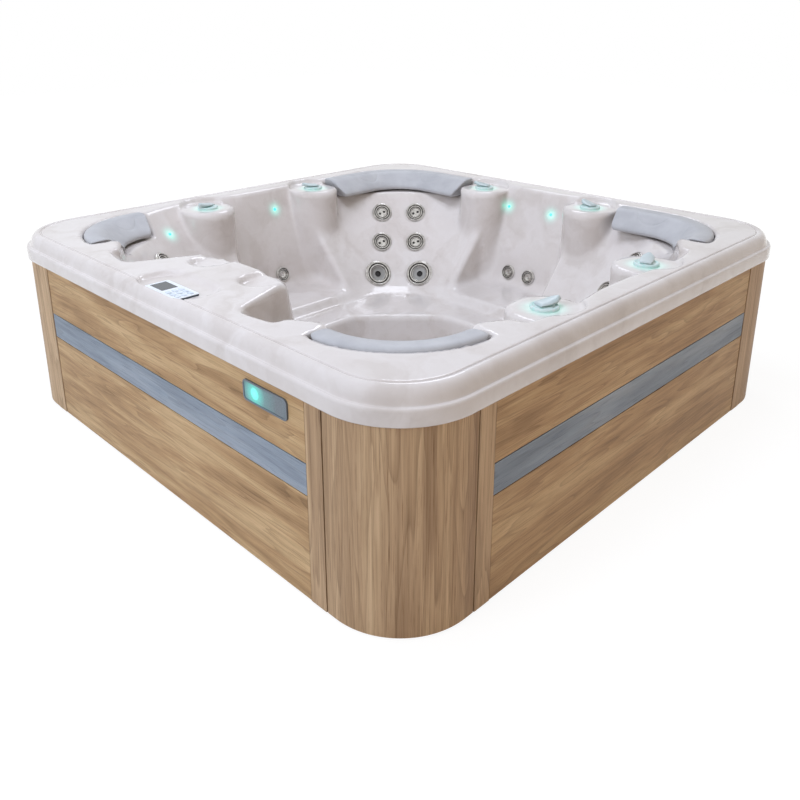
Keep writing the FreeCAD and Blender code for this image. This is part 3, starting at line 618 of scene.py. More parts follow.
def evenly(keys: Array, count: int, weights: Tuple[float, float] = (1.0, 1.0)) -> Array:
    """Points at even steps along the straight runs between key points.

    Args:
        keys: Key points, two numbers each.
        count: Number of points, the first and last key among them.
        weights: What each of the two numbers is multiplied by for the lengths of the runs.

    Returns:
        The points, in the keys' own numbers.
    """
    step = np.r_[0, np.cumsum(np.linalg.norm(np.diff(keys * weights, axis=0), axis=1))]
    even = np.linspace(0, step[-1], count)
    return np.stack([np.interp(even, step, keys[:, 0]), np.interp(even, step, keys[:, 1])], 1)


def quarter_turn(quarter: int) -> Tuple[int, int]:
    """Cosine and sine of a number of right angles."""
    return round(math.cos(quarter * math.pi / 2)), round(math.sin(quarter * math.pi / 2))


def frame_on(axis: Array) -> Array:
    """Three square directions as rows, the last one along an axis.

    Args:
        axis: Direction of the last row, of any length.

    Returns:
        A three by three array.
    """
    up = axis / np.linalg.norm(axis)
    side = np.cross((0.0, 0.0, 1.0) if abs(up[2]) < 0.95 else (1.0, 0.0, 0.0), up)
    side = side / np.linalg.norm(side)
    return np.stack([side, np.cross(up, side), up])


def face_out(piece: bpy.types.Object) -> None:
    """Turn a closed piece's faces outward, by the sign of the volume that they enclose.

    Args:
        piece: Closed mesh object.
    """
    mesh = piece.data
    mesh.calc_loop_triangles()
    corners = np.zeros(len(mesh.vertices) * 3)
    mesh.vertices.foreach_get("co", corners)
    corners = corners.reshape(-1, 3)
    index = np.zeros(len(mesh.loop_triangles) * 3, dtype=np.int32)
    mesh.loop_triangles.foreach_get("vertices", index)
    a, b, c = (corners[index.reshape(-1, 3)[:, k]] for k in range(3))
    if (np.cross(a, b) * c).sum() < 0:
        mesh.flip_normals()


def dress(piece: bpy.types.Object, *materials: bpy.types.Material) -> None:
    """Give a new piece its materials in order."""
    for material in materials:
        piece.data.materials.append(material)


def dress_node(node: str, material: bpy.types.Material) -> None:
    """Give a CAD node's object one material on every slot.

    Args:
        node: Name of the CAD node.
        material: Material for all its slots.
    """
    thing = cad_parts[node]
    if not thing.material_slots:
        thing.data.materials.append(material)
    for slot in thing.material_slots:
        slot.material = material


# Sizes that the shell shares with what sits on it


@dataclass
class TubSizes:
    """Driving sizes of the moulding, in metres."""

    deck: float = 0.694
    lip_half: float = 1.101
    lip_radius: float = 0.247
    flange_bottom: float = 0.603
    flange_top: float = 0.649
    rim_half: float = 0.965
    rim_radius: float = 0.327
    seat: float = 0.196
    side_seat: float = 0.234
    pocket_center: float = 0.327
    pocket_seat_radius: float = 0.241
    pocket_rim_radius: float = 0.659
    basin_half: float = 0.545
    bay_half: float = 0.236
    bay_seat_reach: float = 0.822
    bay_rim_reach: float = 0.958
    well_floor: float = 0.042
    well_half: float = 0.334
    well_flat: float = 0.096
    well_draft: float = 0.036
    column_center: float = 0.905
    column_radius: float = 0.118
    lever_offset: float = 0.302
    shelf: float = 0.672
    console_foot: float = 0.640
    console_tip: float = 0.707
    console_root: float = 0.985
    console_foot_half: float = 0.250
    console_tip_half: float = 0.216
    console_root_half: float = 0.330

    @property
    def pocket_slope(self) -> float:
        """Growth of a pocket's radius with height."""
        return (self.pocket_rim_radius - self.pocket_seat_radius) / (self.deck - self.seat)

    @property
    def bay_slope(self) -> float:
        """Lean of a side seat's back."""
        return (self.bay_rim_reach - self.bay_seat_reach) / (self.deck - self.side_seat)

    def lever_places(self) -> List[Tuple[float, float]]:
        """Centres of the six lever shelves, right, back and left."""
        far, off = self.column_center, self.lever_offset
        return [(far, -off), (far, off), (off, far), (-off, far), (-far, off), (-far, -off)]


@dataclass
class JetSpot:
    """One jet: its name, place, axis and face radius."""

    name: str
    place: Array
    axis: Array
    radius: float


@dataclass
class JetLayout:
    """Where the jets sit on the seats' backs."""

    tub: TubSizes
    tilt: float = math.radians(32.0)
    side_tilt: float = math.radians(15.0)
    small_height: float = 0.296
    small_radius: float = 0.036

    # Name, height, distance off the corner's middle and face radius of each row of two.
    rows = (("upper", 0.519, 0.086, 0.050), ("lower", 0.392, 0.086, 0.050), ("large", 0.262, 0.102, 0.066))

    def corner(self) -> List[JetSpot]:
        """Six jets of the back left corner, two by two.

        Returns:
            Upper, lower and large row, left and right.
        """
        spots = []
        for row, height, spread, radius in self.rows:
            reach = self.tub.pocket_seat_radius + self.tub.pocket_slope * (height - self.tub.seat)
            for side, word in ((-1, "left"), (1, "right")):
                heading = math.radians(135.0) - math.asin(side * spread / reach)
                out = np.array([math.cos(heading), math.sin(heading), 0.0])
                centre = np.array([-self.tub.pocket_center, self.tub.pocket_center, height])
                axis = -out * math.cos(self.tilt) + np.array([0.0, 0.0, math.sin(self.tilt)])
                spots.append(JetSpot("jet_%s_%s" % (row, word), centre + out * reach, axis, radius))
        return spots

    def sides(self) -> List[JetSpot]:
        """Three small jets of the back and left seats.

        Returns:
            Two on the back, one on the left.
        """
        reach = self.tub.bay_seat_reach + self.tub.bay_slope * (self.small_height - self.tub.side_seat)
        rise, run = math.sin(self.side_tilt), math.cos(self.side_tilt)
        height, radius = self.small_height, self.small_radius
        back = np.array([0.0, -run, rise])
        return [
            JetSpot("jet_small_back_left", np.array([-0.085, reach, height]), back, radius),
            JetSpot("jet_small_back_right", np.array([0.033, reach, height]), back, radius),
            JetSpot("jet_small_side", np.array([-reach, 0.044, height]), np.array([run, 0.0, rise]), radius),
        ]

    def hidden(self) -> List[JetSpot]:
        """Jets of the three other corner seats, turned round the tub.

        Returns:
            Eighteen spots, six for each corner.
        """
        spots = []
        for quarter in (1, 2, 3):
            c, s = quarter_turn(quarter)
            turn = np.array([[c, -s, 0.0], [s, c, 0.0], [0.0, 0.0, 1.0]])
            for spot in self.corner():
                name = "%s_%d" % (spot.name, quarter)
                spots.append(JetSpot(name, turn @ spot.place, turn @ spot.axis, spot.radius))
        return spots


@dataclass(frozen=True)
class Bends:
    """Half widths of the moulding's soft bends, in metres, from the widest place to the narrowest."""

    bay_back: float = 0.060
    pocket_floor: float = 0.050
    console_front: float = 0.050
    bay_floor: float = 0.045
    basin_floor: float = 0.040
    front_bay: float = 0.040
    well_corner: float = 0.040
    well_floor: float = 0.035
    join: float = 0.030
    well_rim: float = 0.022
    column_wall: float = 0.022
    well_side: float = 0.020
    cheek_wall: float = 0.016
    cheek: float = 0.014
    column_top: float = 0.012
    scoop_floor: float = 0.012
    deck_edge: float = 0.010
    shelf: float = 0.010
    dish_floor: float = 0.010
    ledge: float = 0.006
    dish_edge: float = 0.005
    fine_edge: float = 0.004


@dataclass
class TubShell:
    """The one-piece acrylic moulding: lip, deck, seats, footwell, lever columns and console."""

    tub: TubSizes
    jets: JetLayout
    bends: Bends = Bends()
    cells: int = 256
    rounds: Tuple[int, int, int] = (260, 110, 45)
    pull: float = 0.6
    sky: float = 0.75
    halvings: int = 24
    probe: float = 0.0006
    longest_step: float = 0.02
    border: float = 0.066
    border_points: int = 4096
    seat_clearance: float = 0.004
    seat_sink: float = 0.004
    bore_share: float = 0.64
    bore_depth: float = 0.022
    dish_centre: float = -0.984
    dish_half: Tuple[float, float] = (0.156, 0.078)
    dish_radius: float = 0.060
    dish_floor: float = 0.680
    dish_wall: float = 0.009
    scoop_offset: float = 0.146
    scoop_centre: float = -0.772
    scoop_radius: float = 0.066
    scoop_end: float = -0.600
    scoop_floor: float = 0.670
    scoop_fall: float = 0.10
    ledge_floor: float = 0.607
    ledge_depth: float = 0.18
    cheek_reach: float = 0.118
    cheek_taper: float = 0.130
    steep_slant: float = 0.1
    wall_glow: float = 0.75
    wall_spread: float = 0.026
    base_glow: float = 0.30
    base_edge: float = 0.046
    base_spread: float = 0.022

    def hollow(self, p: Array) -> Array:
        """Distance into the air over the basin: pockets, bays, basin and footwell joined with soft edges.

        A pocket is a cone that opens upward, a bay is a wedge between two walls, the basin is a rounded
        box and the footwell is an eight-sided pyramid; each has a soft bend where its wall meets its floor.
        The factors just under one turn a height over a leaning wall into a distance from it.

        Args:
            p: Places.

        Returns:
            Field that is positive in the air.
        """
        t, b = self.tub, self.bends
        x, y, z = p[:, 0], p[:, 1], p[:, 2]
        ax, ay = np.abs(x), np.abs(y)
        over_seat, over_side = z - t.seat, z - t.side_seat
        lean = 1 / math.hypot(1, t.pocket_slope)
        from_pocket = np.hypot(ax - t.pocket_center, ay - t.pocket_center)
        cone = (t.pocket_seat_radius + t.pocket_slope * over_seat - from_pocket) * lean
        air = smooth_min(cone, over_seat, b.pocket_floor)
        basin = -outside_rounded(x, y, t.basin_half, t.basin_half, t.basin_half / 2)
        air = smooth_max(air, smooth_min(basin, over_seat, b.basin_floor), b.join)
        for across, out in ((ay, ax), (ax, y)):
            back = (t.bay_seat_reach + t.bay_slope * over_side - out) * 0.96
            back = np.minimum(back, 0.3 + out)
            bay = smooth_min(smooth_min(t.bay_half - across, back, b.bay_back), over_side, b.bay_floor)
            air = smooth_max(air, bay, b.join)
        front = np.minimum((self.console_reach(z) + y) * 0.99, 0.3 - y)
        bay = smooth_min(smooth_min(t.console_tip_half - ax, front, b.front_bay), over_side, b.front_bay)
        air = smooth_max(air, bay, b.join)
        depth = z - t.well_floor
        half = t.well_half + t.well_draft * depth / (t.seat - t.well_floor)
        flat = t.well_flat + t.well_draft * depth / (t.seat - t.well_floor) / 2
        square = smooth_min(half - ax, half - ay, b.well_side)
        well = smooth_min(square, (half + flat - ax - ay) * 0.7071, b.well_corner)
        well = smooth_min(well * 0.97, depth, b.well_floor)
        return smooth_max(air, well, b.well_rim)

    def console_reach(self, z: Array) -> Array:
        """Distance of the console's sloping front from the middle, by height."""
        t = self.tub
        return t.console_foot + (t.console_tip - t.console_foot) * (z - t.side_seat) / (t.deck - t.side_seat)

    def columns(self, p: Array) -> Tuple[Array, Array]:
        """Distance into the lever columns and into the space over their shelves.

        Args:
            p: Places.

        Returns:
            Two fields: positive in the columns, and positive over the shelves.
        """
        t = self.tub
        x, y, z = p[:, 0], p[:, 1], p[:, 2]
        sides = np.hypot(np.abs(x) - t.column_center, np.abs(y) - t.lever_offset)
        back = np.hypot(np.abs(x) - t.lever_offset, y - t.column_center)
        within = t.column_radius - np.minimum(sides, back)
        column = smooth_min(within, t.shelf - z, self.bends.column_top)
        return column, smooth_min(within, z - t.shelf, self.bends.shelf)

    def console(self, p: Array) -> Array:
        """Distance into the console: a flared tongue with a sloping, round-cornered front.

        Args:
            p: Places, one row each.

        Returns:
            Field that is positive in the console.
        """
        t = self.tub
        x, y, z = p[:, 0], p[:, 1], p[:, 2]
        reach = self.console_reach(z)
        share = (z - t.side_seat) / (t.deck - t.side_seat)
        tip = t.console_foot_half + (t.console_tip_half - t.console_foot_half) * share
        width = tip + (-y - reach) * (t.console_root_half - tip) / (t.console_root - reach)
        return smooth_min((-y - reach) * 0.99, (width - np.abs(x)) * 0.92, self.bends.console_front)

    def along_rim(self, lx: Array, ly: Array) -> Array:
        """Distance along the rim from where its corner arc starts, in a quarter turned onto +X, +Y.

        Args:
            lx: Places across.
            ly: Places along.

        Returns:
            Distance for each place.
        """
        middle, radius = self.tub.rim_half - self.tub.rim_radius, self.tub.rim_radius
        arc = radius * np.arctan2(ly - middle, lx - middle)
        straight = np.where(lx > ly, ly - middle, radius * math.pi / 2 + middle - lx)
        return np.where((lx > middle) & (ly > middle), arc, straight)

    def pillow_ledges(self, p: Array) -> Tuple[Array, Array]:
        """Distance into the recesses of the four head pillows, and into the deck that closes their ends.

        A recess follows the rim and ends where its pillow does. At a slanted end the deck runs on inward
        of the pocket's edge: it fills the wedge before the slant, and tapers back to the edge in 130 mm.

        Args:
            p: Places.

        Returns:
            Two fields: positive in the recesses, and positive in the added deck.
        """
        x, y, z = p[:, 0], p[:, 1], p[:, 2]
        rim = -outside_rounded(x, y, self.tub.rim_half, self.tub.rim_half, self.tub.rim_radius)
        middle, arc = self.tub.rim_half - self.tub.rim_radius, self.tub.rim_radius * math.pi / 2
        wedge = 0.12 * np.interp(rim, [0.066, 0.097, 0.138, 0.148], [0.0, 0.24, 0.62, 0.83])
        space, cheek = np.full(len(p), -1.0), np.full(len(p), -1.0)
        for quarter, ends in enumerate(HeadPillows.ends_by_quarter):
            c, s = quarter_turn(quarter)
            lx, ly = x * c + y * s, -x * s + y * c
            here = (lx > 0) & (ly > 0)
            place = self.along_rim(lx, ly)
            starts = [middle - min(end - 0.002, middle) for end in ends]
            inner = []
            slants = HeadPillows.slants_by_quarter[quarter]
            for far, slant in zip((place + starts[0], arc + starts[1] - place), slants):
                steep = slant > self.steep_slant
                near = far - wedge * steep
                inner.append(near)
                if steep:
                    wide = self.cheek_reach + 0.6 * np.minimum(far, 0) - rim
                    solid = smooth_min(-near - 0.001, wide, self.bends.cheek)
                    solid = smooth_min(solid, far + self.cheek_taper, self.bends.cheek)
                    cheek = np.maximum(cheek, np.where(here, solid, -1.0))
            end = np.where(here, np.minimum(*inner), -1.0)
            space = np.maximum(space, np.minimum(np.minimum(end, rim), self.ledge_depth - rim))
        return smooth_min(space, z - self.ledge_floor, self.bends.ledge), cheek

    def jet_seats(self, p: Array) -> Array:
        """Distance into the flat round seats and the bores of all the jets.

        Each quarter of the tub is turned onto the back left one, so that six spots do for all corners.

        Args:
            p: Places, one row each.

        Returns:
            Field that is positive in the seats and bores.
        """
        x, y, z = p[:, 0], p[:, 1], p[:, 2]
        quarter = np.where(x < 0, np.where(y > 0, 0, 1), np.where(y < 0, 2, 3))
        c = np.array([1.0, 0.0, -1.0, 0.0])[quarter]
        s = np.array([0.0, -1.0, 0.0, 1.0])[quarter]
        at_back_left = np.stack([x * c - y * s, x * s + y * c, z], 1)
        space = np.full(len(p), -1.0)
        for places, spots in ((at_back_left, self.jets.corner()), (p, self.jets.sides())):
            for spot in spots:
                d = places - spot.place
                along = d @ spot.axis
                aside = np.sqrt(np.maximum((d * d).sum(1) - along * along, 0))
                seat = np.minimum(spot.radius + self.seat_clearance - aside, along + self.seat_sink)
                bore = np.minimum(spot.radius * self.bore_share - aside, along + self.bore_depth)
                space = np.maximum(space, np.minimum(np.maximum(seat, bore), 0.04 - along))
        return space

    def in_dish(self, x: Array, y: Array) -> Array:
        """Distance inside the outline of the control panel's dish."""
        return -outside_rounded(x, y - self.dish_centre, *self.dish_half, self.dish_radius)

    def air(self, p: Array, fine: bool) -> Array:
        """Distance above the whole moulding's upper face.

        The net stops at its border on the deck, so the deck is a plane here and the lip a swept profile.

        Args:
            p: Places.
            fine: Whether the jet seats and dishes are in.

        Returns:
            Field that is positive in the air and zero on the surface.
        """
        x, y, z = p[:, 0], p[:, 1], p[:, 2]
        b = self.bends
        air = self.hollow(p)
        column, over_shelf = self.columns(p)
        air = smooth_min(air, -column, b.column_wall)
        air = smooth_min(air, -self.console(p), b.join)
        ledges, cheeks = self.pillow_ledges(p)
        air = smooth_min(air, -cheeks, b.cheek_wall)
        air = smooth_max(air, z - self.tub.deck, b.deck_edge)
        air = smooth_max(air, over_shelf, b.ledge)
        air = smooth_max(air, ledges, b.ledge)
        if fine:
            dish = smooth_min(self.in_dish(x, y), z - self.dish_floor, b.dish_floor)
            air = smooth_max(air, dish, b.dish_edge)
            for side in (-self.scoop_offset, self.scoop_offset):
                from_scoop = np.hypot(x - side, np.minimum(y - self.scoop_centre, 0))
                trough = np.minimum(self.scoop_radius - from_scoop, self.scoop_end - y)
                floor = z - self.scoop_floor - (y - self.scoop_centre + self.scoop_radius) * self.scoop_fall
                air = smooth_max(air, smooth_min(trough, floor, b.scoop_floor), b.fine_edge)
            air = smooth_max(air, self.jet_seats(p), b.fine_edge)
        return air

    def settle(self, p: Array, rounds: int, fine: bool) -> Array:
        """Spread a square net of points evenly over the surface.

        Each round pulls every inner point part of the way to the mean of its four neighbours, and then
        back onto the surface along the field's gradient. The border stays.

        Args:
            p: Places as rows by columns.
            rounds: Number of rounds.
            fine: Whether the small features are in.

        Returns:
            The settled net.
        """
        rows, columns = p.shape[:2]
        for _ in range(rounds):
            mean = (p[:-2, 1:-1] + p[2:, 1:-1] + p[1:-1, :-2] + p[1:-1, 2:]) / 4
            inner = p[1:-1, 1:-1] + (mean - p[1:-1, 1:-1]) * self.pull
            p[1:-1, 1:-1] = self.onto(inner.reshape(-1, 3), fine, 1).reshape(rows - 2, columns - 2, 3)
        inner = self.onto(p[1:-1, 1:-1].reshape(-1, 3), fine, 4)
        p[1:-1, 1:-1] = inner.reshape(rows - 2, columns - 2, 3)
        return p

    def onto(self, p: Array, fine: bool, steps: int) -> Array:
        """Move places onto the surface by steps of the field over its gradient.

        Args:
            p: Places, one row each.
            fine: Whether the small features are in.
            steps: Number of steps.

        Returns:
            The moved places.
        """
        for _ in range(steps):
            here = self.air(p, fine)
            beside = (self.air(p + self.probe * axis, fine) for axis in np.eye(3))
            slope = np.stack([there - here for there in beside], 1) / self.probe
            step = here / np.maximum((slope * slope).sum(1), 0.2)
            p = p - slope * np.clip(step, -self.longest_step, self.longest_step)[:, None]
        return p

    def net(self) -> Array:
        """Square net over the whole upper face, out to the groove at the deck's edge, as rows by columns.

        Ring k of the square maps to the lip's outline shrunk by k over the number of rings, which keeps
        the cells even. Heights come from halving the space between floor and sky until the field is zero.
        The net is settled at a quarter of its cells, at half and in full, the last time with the details.

        Returns:
            Places as rows by columns.
        """
        cells = self.cells // 4
        p = self.flat_net(cells)
        low, high = np.zeros(len(p)), np.full(len(p), self.sky)
        for _ in range(self.halvings):
            middle = (low + high) / 2
            p[:, 2] = middle
            above = self.air(p, False) > 0
            high, low = np.where(above, middle, high), np.where(above, low, middle)
        p = p.reshape(cells + 1, cells + 1, 3)
        for level, rounds in enumerate(self.rounds):
            if level:
                p = self.doubled(p)
                self.set_border(p)
            p = self.settle(p, rounds, level == len(self.rounds) - 1)
        log.info("shell net of %d by %d points", p.shape[0], p.shape[1])
        return p

    def outline(self, count: int) -> Array:
        """Outline of the net on the deck, with its height.

        Args:
            count: Number of points.

        Returns:
            Places from the front right corner on, anticlockwise.
        """
        t = self.tub
        ring = rounded_square(t.lip_half - self.border, t.lip_radius - self.border, count)
        return self.dished(np.column_stack([ring, np.full(count, t.deck)]))

    def dished(self, p: Array) -> Array:
        """Sink the places that lie in the control panel's dish to its floor, over its wall.

        Args:
            p: Places, which are changed.

        Returns:
            The same places.
        """
        share = np.clip(self.in_dish(p[:, 0], p[:, 1]) / self.dish_wall, 0, 1)
        share = share * share * (3 - 2 * share)
        p[:, 2] -= share * np.maximum(p[:, 2] - self.dish_floor, 0)
        return p

    def flat_net(self, cells: int) -> Array:
        """Net of cells by cells squares, flat, with its border on the outline.

        Args:
            cells: Cells along a side.

        Returns:
            Places, one row each.
        """
        u = np.linspace(-1, 1, cells + 1)
        gy, gx = np.meshgrid(u, u, indexing="ij")
        ring = np.maximum(np.abs(gx), np.abs(gy))
        safe = np.maximum(ring, 1e-9)
        sx, sy = gx / safe, gy / safe
        walk = np.where(
            (sx >= 1) & (sy < 1), (sy + 1) / 2,
            np.where(sy >= 1, 1 + (1 - sx) / 2, np.where(sx <= -1, 2 + (1 - sy) / 2, 3 + (sx + 1) / 2)),
        ) % 4
        border = self.outline(self.border_points)
        index = (walk / 4 * self.border_points).round().astype(int) % self.border_points
        p = border[index] * ring[..., None]
        p[..., 2] = 0.5
        return p.reshape(-1, 3)

    def set_border(self, p: Array) -> None:
        """Put the border points of a net back on the outline, evenly.

        Args:
            p: Net as rows by columns, which is changed.
        """
        cells = p.shape[0] - 1
        ring = self.outline(cells * 4)
        p[0, :-1] = ring[3 * cells:]
        p[:-1, -1] = ring[:cells]
        p[-1, 1:] = ring[cells:2 * cells][::-1]
        p[1:, 0] = ring[2 * cells:3 * cells][::-1]

    def doubled(self, p: Array) -> Array:
        """Net with a point added between each two neighbours.

        Args:
            p: Net as rows by columns.

        Returns:
            Net with twice the cells along a side.
        """
        rows = p.shape[0]
        wide = np.zeros((rows, 2 * rows - 1, 3))
        wide[:, ::2] = p
        wide[:, 1::2] = (p[:, :-1] + p[:, 1:]) / 2
        tall = np.zeros((2 * rows - 1, 2 * rows - 1, 3))
        tall[::2] = wide
        tall[1::2] = (wide[:-1] + wide[1:]) / 2
        return tall

    def flange(self, count: int) -> Array:
        """Rings from the net's border through the groove, over the roll and down the flange, then up inside it.

        A ring is the lip's outline moved inward, and each pair is that inset and a rise in metres.

        Args:
            count: Number of points in the border.

        Returns:
            Rings of points, the border itself not among them.
        """
        t = self.tub
        groove = [
            (0.0625, 0.0), (0.0605, -0.0003), (0.0588, -0.0018), (0.0574, -0.0042), (0.0560, -0.0050),
            (0.0546, -0.0042), (0.0532, -0.0016), (0.0515, 0.0),
        ]
        roll = [
            (0.0485, 0.0008), (0.0430, 0.0008), (0.0370, -0.0010), (0.0330, -0.0034), (0.0292, -0.0068),
            (0.0256, -0.0112), (0.0224, -0.0164), (0.0196, -0.0222), (0.0174, -0.0284), (0.0156, -0.0350),
            (0.0138, -0.0405), (0.0126, -0.0421), (0.0110, -0.0429),
        ]
        flange = [
            (0.0086, 0.0022), (0.0060, 0.0018), (0.0036, 0.0006), (0.0018, -0.0016), (0.0006, -0.0046),
            (0.0, -0.0080), (0.0, -0.0420), (0.0012, -0.0450), (0.0040, -0.0460), (0.0072, -0.0450),
            (0.0080, -0.0420), (0.0080, -0.0150),
        ]
        profile = [(inset, t.deck + rise) for inset, rise in groove + roll]
        profile += [(inset, t.flange_top + rise) for inset, rise in flange]
        rings = []
        for inset, height in profile:
            flat = rounded_square(t.lip_half - inset, t.lip_radius - inset, count)
            ring = np.column_stack([flat, np.full(count, height)])
            rings.append(self.dished(ring) if height > t.flange_bottom + 0.060 else ring)
        return np.array(rings)

    def halo(self, points: Array) -> Array:
        """Light that shines through the sheet round the wall lights and the lever bases.

        Round a wall light it falls off as a bell curve of the distance, and round a lever base as a bell
        curve of the distance from the base's edge.

        Args:
            points: Places on the moulding.

        Returns:
            Strength at each place.
        """
        t = self.tub
        light = np.zeros(len(points))
        for place, _ in WallLights(t).places():
            far = np.linalg.norm(points - place, axis=1)
            light += self.wall_glow * np.exp(-(far / self.wall_spread) ** 2)
        on_shelf = points[:, 2] > t.shelf - 0.02
        for x, y in t.lever_places():
            far = np.hypot(points[:, 0] - x, points[:, 1] - y) - self.base_edge
            light += self.base_glow * np.exp(-(far / self.base_spread) ** 2) * on_shelf
        return light

    def build(self, finish: bpy.types.Material) -> None:
        """Build the moulding, dress it and put it in the CAD shell's place.

        Args:
            finish: Material of the sheet.
        """
        net = self.net()
        side = net.shape[0]
        index = np.arange(side * side).reshape(side, side)
        walk = np.concatenate([index[:-1, -1], index[-1, 1:][::-1], index[1:, 0][::-1], index[0, :-1]])
        points = net.reshape(-1, 3)
        rings = self.flange(len(walk))
        quads = grid_faces(side, side, False)
        start = len(points)
        row = np.arange(len(walk))
        after = (row + 1) % len(walk)
        joint = np.stack([walk[row], start + row, start + after, walk[after]], 1)
        skirt = grid_faces(len(rings), len(walk), True, start)[:, ::-1]
        points = np.concatenate([points, rings.reshape(-1, 3)])
        piece = make_piece("moulded_shell", points, np.concatenate([quads, joint, skirt]))
        halo = piece.data.attributes.new("lit_from_behind", "FLOAT", "POINT")
        halo.data.foreach_set("value", self.halo(points).astype(np.float32))
        dress(piece, finish)
        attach(piece, "tub")
        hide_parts("acrylic_shell")
        log.info("moulded shell: %d points", len(points))


@dataclass
class HeadPillows:
    """Four moulded foam head pillows, carried round the corners of the rim."""

    tub: TubSizes
    width: float = 0.148
    top_width: float = 0.066
    drop: float = 0.083
    along: int = 300
    around: int = 72
    gap: float = 0.003
    round_end: float = 0.012
    end_rings: int = 7
    arc_places: Tuple[float, float] = (0.26, 0.74)
    arc_radius: float = 0.082
    arc_width: float = 0.0028
    arc_depth: float = 0.0022

    ends_by_quarter = ((0.636, 0.436), (0.414, 0.414), (0.600, 0.630), (0.612, 0.616))
    slants_by_quarter = ((0.120, 0.030), (0.030, 0.030), (0.030, 0.120), (0.120, 0.120))
    names = ("pillow_back_right", "pillow_back_left", "pillow_front_left", "pillow_front_right")

    def section(self) -> Array:
        """Closed outline of a pillow as inward reach and height, with its corners cut round three times.

        Returns:
            Points as inward reach and height, evenly spaced.
        """
        w, d, t = self.width, self.drop, self.top_width
        keys = np.array([
            (0.0, -d + 0.012), (0.0, -0.006), (0.008, 0.003), (t * 0.5, 0.006), (t, 0.003),
            (t + (w - t) * 0.38, -d * 0.24), (w - 0.010, -d * 0.62), (w, -d + 0.014),
            (w - 0.012, -d), (0.014, -d),
        ])
        for _ in range(3):
            after = np.roll(keys, -1, 0)
            keys = np.stack([keys * 0.75 + after * 0.25, keys * 0.25 + after * 0.75], 1).reshape(-1, 2)
        return evenly(np.vstack([keys, keys[:1]]), self.around + 1)[:-1]

    def stations(self, total: float) -> Tuple[Array, Array]:
        """Where the rings stand along the rim, and how far each is drawn in at the rounded ends.

        An end is a quarter circle of radius r, so a ring at d from it is drawn in by r - sqrt(r^2 - (r - d)^2).

        Args:
            total: Length of the pillow along the rim.

        Returns:
            Distance along the rim and inset of each ring.
        """
        r = self.round_end
        bend = r * (1 - np.cos(np.linspace(0, math.pi / 2, self.end_rings))) * 0.999 + 0.00001
        s = np.concatenate([bend, np.linspace(r, total - r, self.along)[1:-1], total - bend[::-1]])
        near = np.minimum(np.minimum(s, total - s), r)
        return s, r - np.sqrt(np.maximum(r ** 2 - (r - near) ** 2, 0))

    def drawn_in(self, inset: Array) -> Tuple[Array, Array]:
        """The section once for each ring, shrunk toward its middle by the ring's inset.

        Args:
            inset: How far each ring is drawn in.

        Returns:
            Inward reach and height, by ring and by point on the ring.
        """
        section = self.section()
        centre = section.mean(0)
        offset = section - centre
        shrink = np.maximum(1 - inset[:, None] / np.linalg.norm(offset, axis=1), 0.3)
        flat = centre + offset * shrink[..., None]
        return flat[..., 0], flat[..., 1]

    def embossing(self, w: Array, h: Array, place: Array, total: float) -> Array:
        """Depth of the two embossed arcs, grooves in the sloping face along a circle round each place.

        Args:
            w: Inward reach of the points.
            h: Height of the points.
            place: Distance of the points along the rim.
            total: Length of the pillow along the rim.

        Returns:
            Depth at each point.
        """
        on_face = np.clip((w - self.top_width) / 0.02, 0, 1) * np.clip((h + self.drop * 0.93) / 0.01, 0, 1)
        groove = np.zeros_like(w)
        for start in self.arc_places:
            far = np.hypot(place - start * total, (w - 0.075) * 1.25 + 0.03)
            groove = np.maximum(groove, np.exp(-((far - self.arc_radius) / self.arc_width) ** 2))
        return self.arc_depth * groove * on_face

    def build_one(self, quarter: int, finish: bpy.types.Material) -> None:
        """Build one pillow: the section carried along the rim, slanted and rounded at its ends.

        The ends slant because the lower edge is shorter than the upper one.

        Args:
            quarter: Number of the corner, anticlockwise from +X, +Y.
            finish: Foam material.
        """
        t, gap = self.tub, self.gap
        reach, radius = t.rim_half - gap, t.rim_radius - gap
        middle = t.rim_half - t.rim_radius
        first, last = (middle - min(end + gap, middle) for end in self.ends_by_quarter[quarter])
        arc = radius * math.pi / 2
        total = first + arc + last
        s, inset = self.stations(total)
        w, h = self.drawn_in(inset)
        slant_first, slant_last = self.slants_by_quarter[quarter]
        share = (s / total)[:, None]
        slant = np.clip(-h / self.drop, 0, 1) * (slant_first * (1 - share) ** 3 - slant_last * share ** 3)
        place = s[:, None] + slant
        press = self.embossing(w, h, place, total)
        w, h = w - press * 0.75, h - press * 0.65
        turn = np.clip((place - first) / radius, 0, math.pi / 2)
        straight_start = np.minimum(place - first, 0)
        straight_end = np.maximum(place - first - arc, 0)
        out_x, out_y = np.cos(turn), np.sin(turn)
        x = middle + (reach - middle - w) * out_x - straight_end
        y = middle + (reach - middle - w) * out_y + straight_start
        z = t.deck + 0.001 + h
        cosine, sine = quarter_turn(quarter)
        rings = np.stack([x * cosine - y * sine, x * sine + y * cosine, z], -1)
        name = self.names[quarter]
        piece = make_piece(name + "_foam", *tube(rings))
        face_out(piece)
        dress(piece, finish)
        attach(piece, "tub")
        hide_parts(name)
        log.info("%s: %.0f mm along the rim", name, total * 1000)

    def build(self, finish: bpy.types.Material) -> None:
        """Build the four pillows."""
        for quarter in range(4):
            self.build_one(quarter, finish)


class JetKind(Enum):
    """What a jet's face holds."""

    NOZZLE = "one wide nozzle in a deep cup"
    ROTOR = "a rotor with two small nozzles"


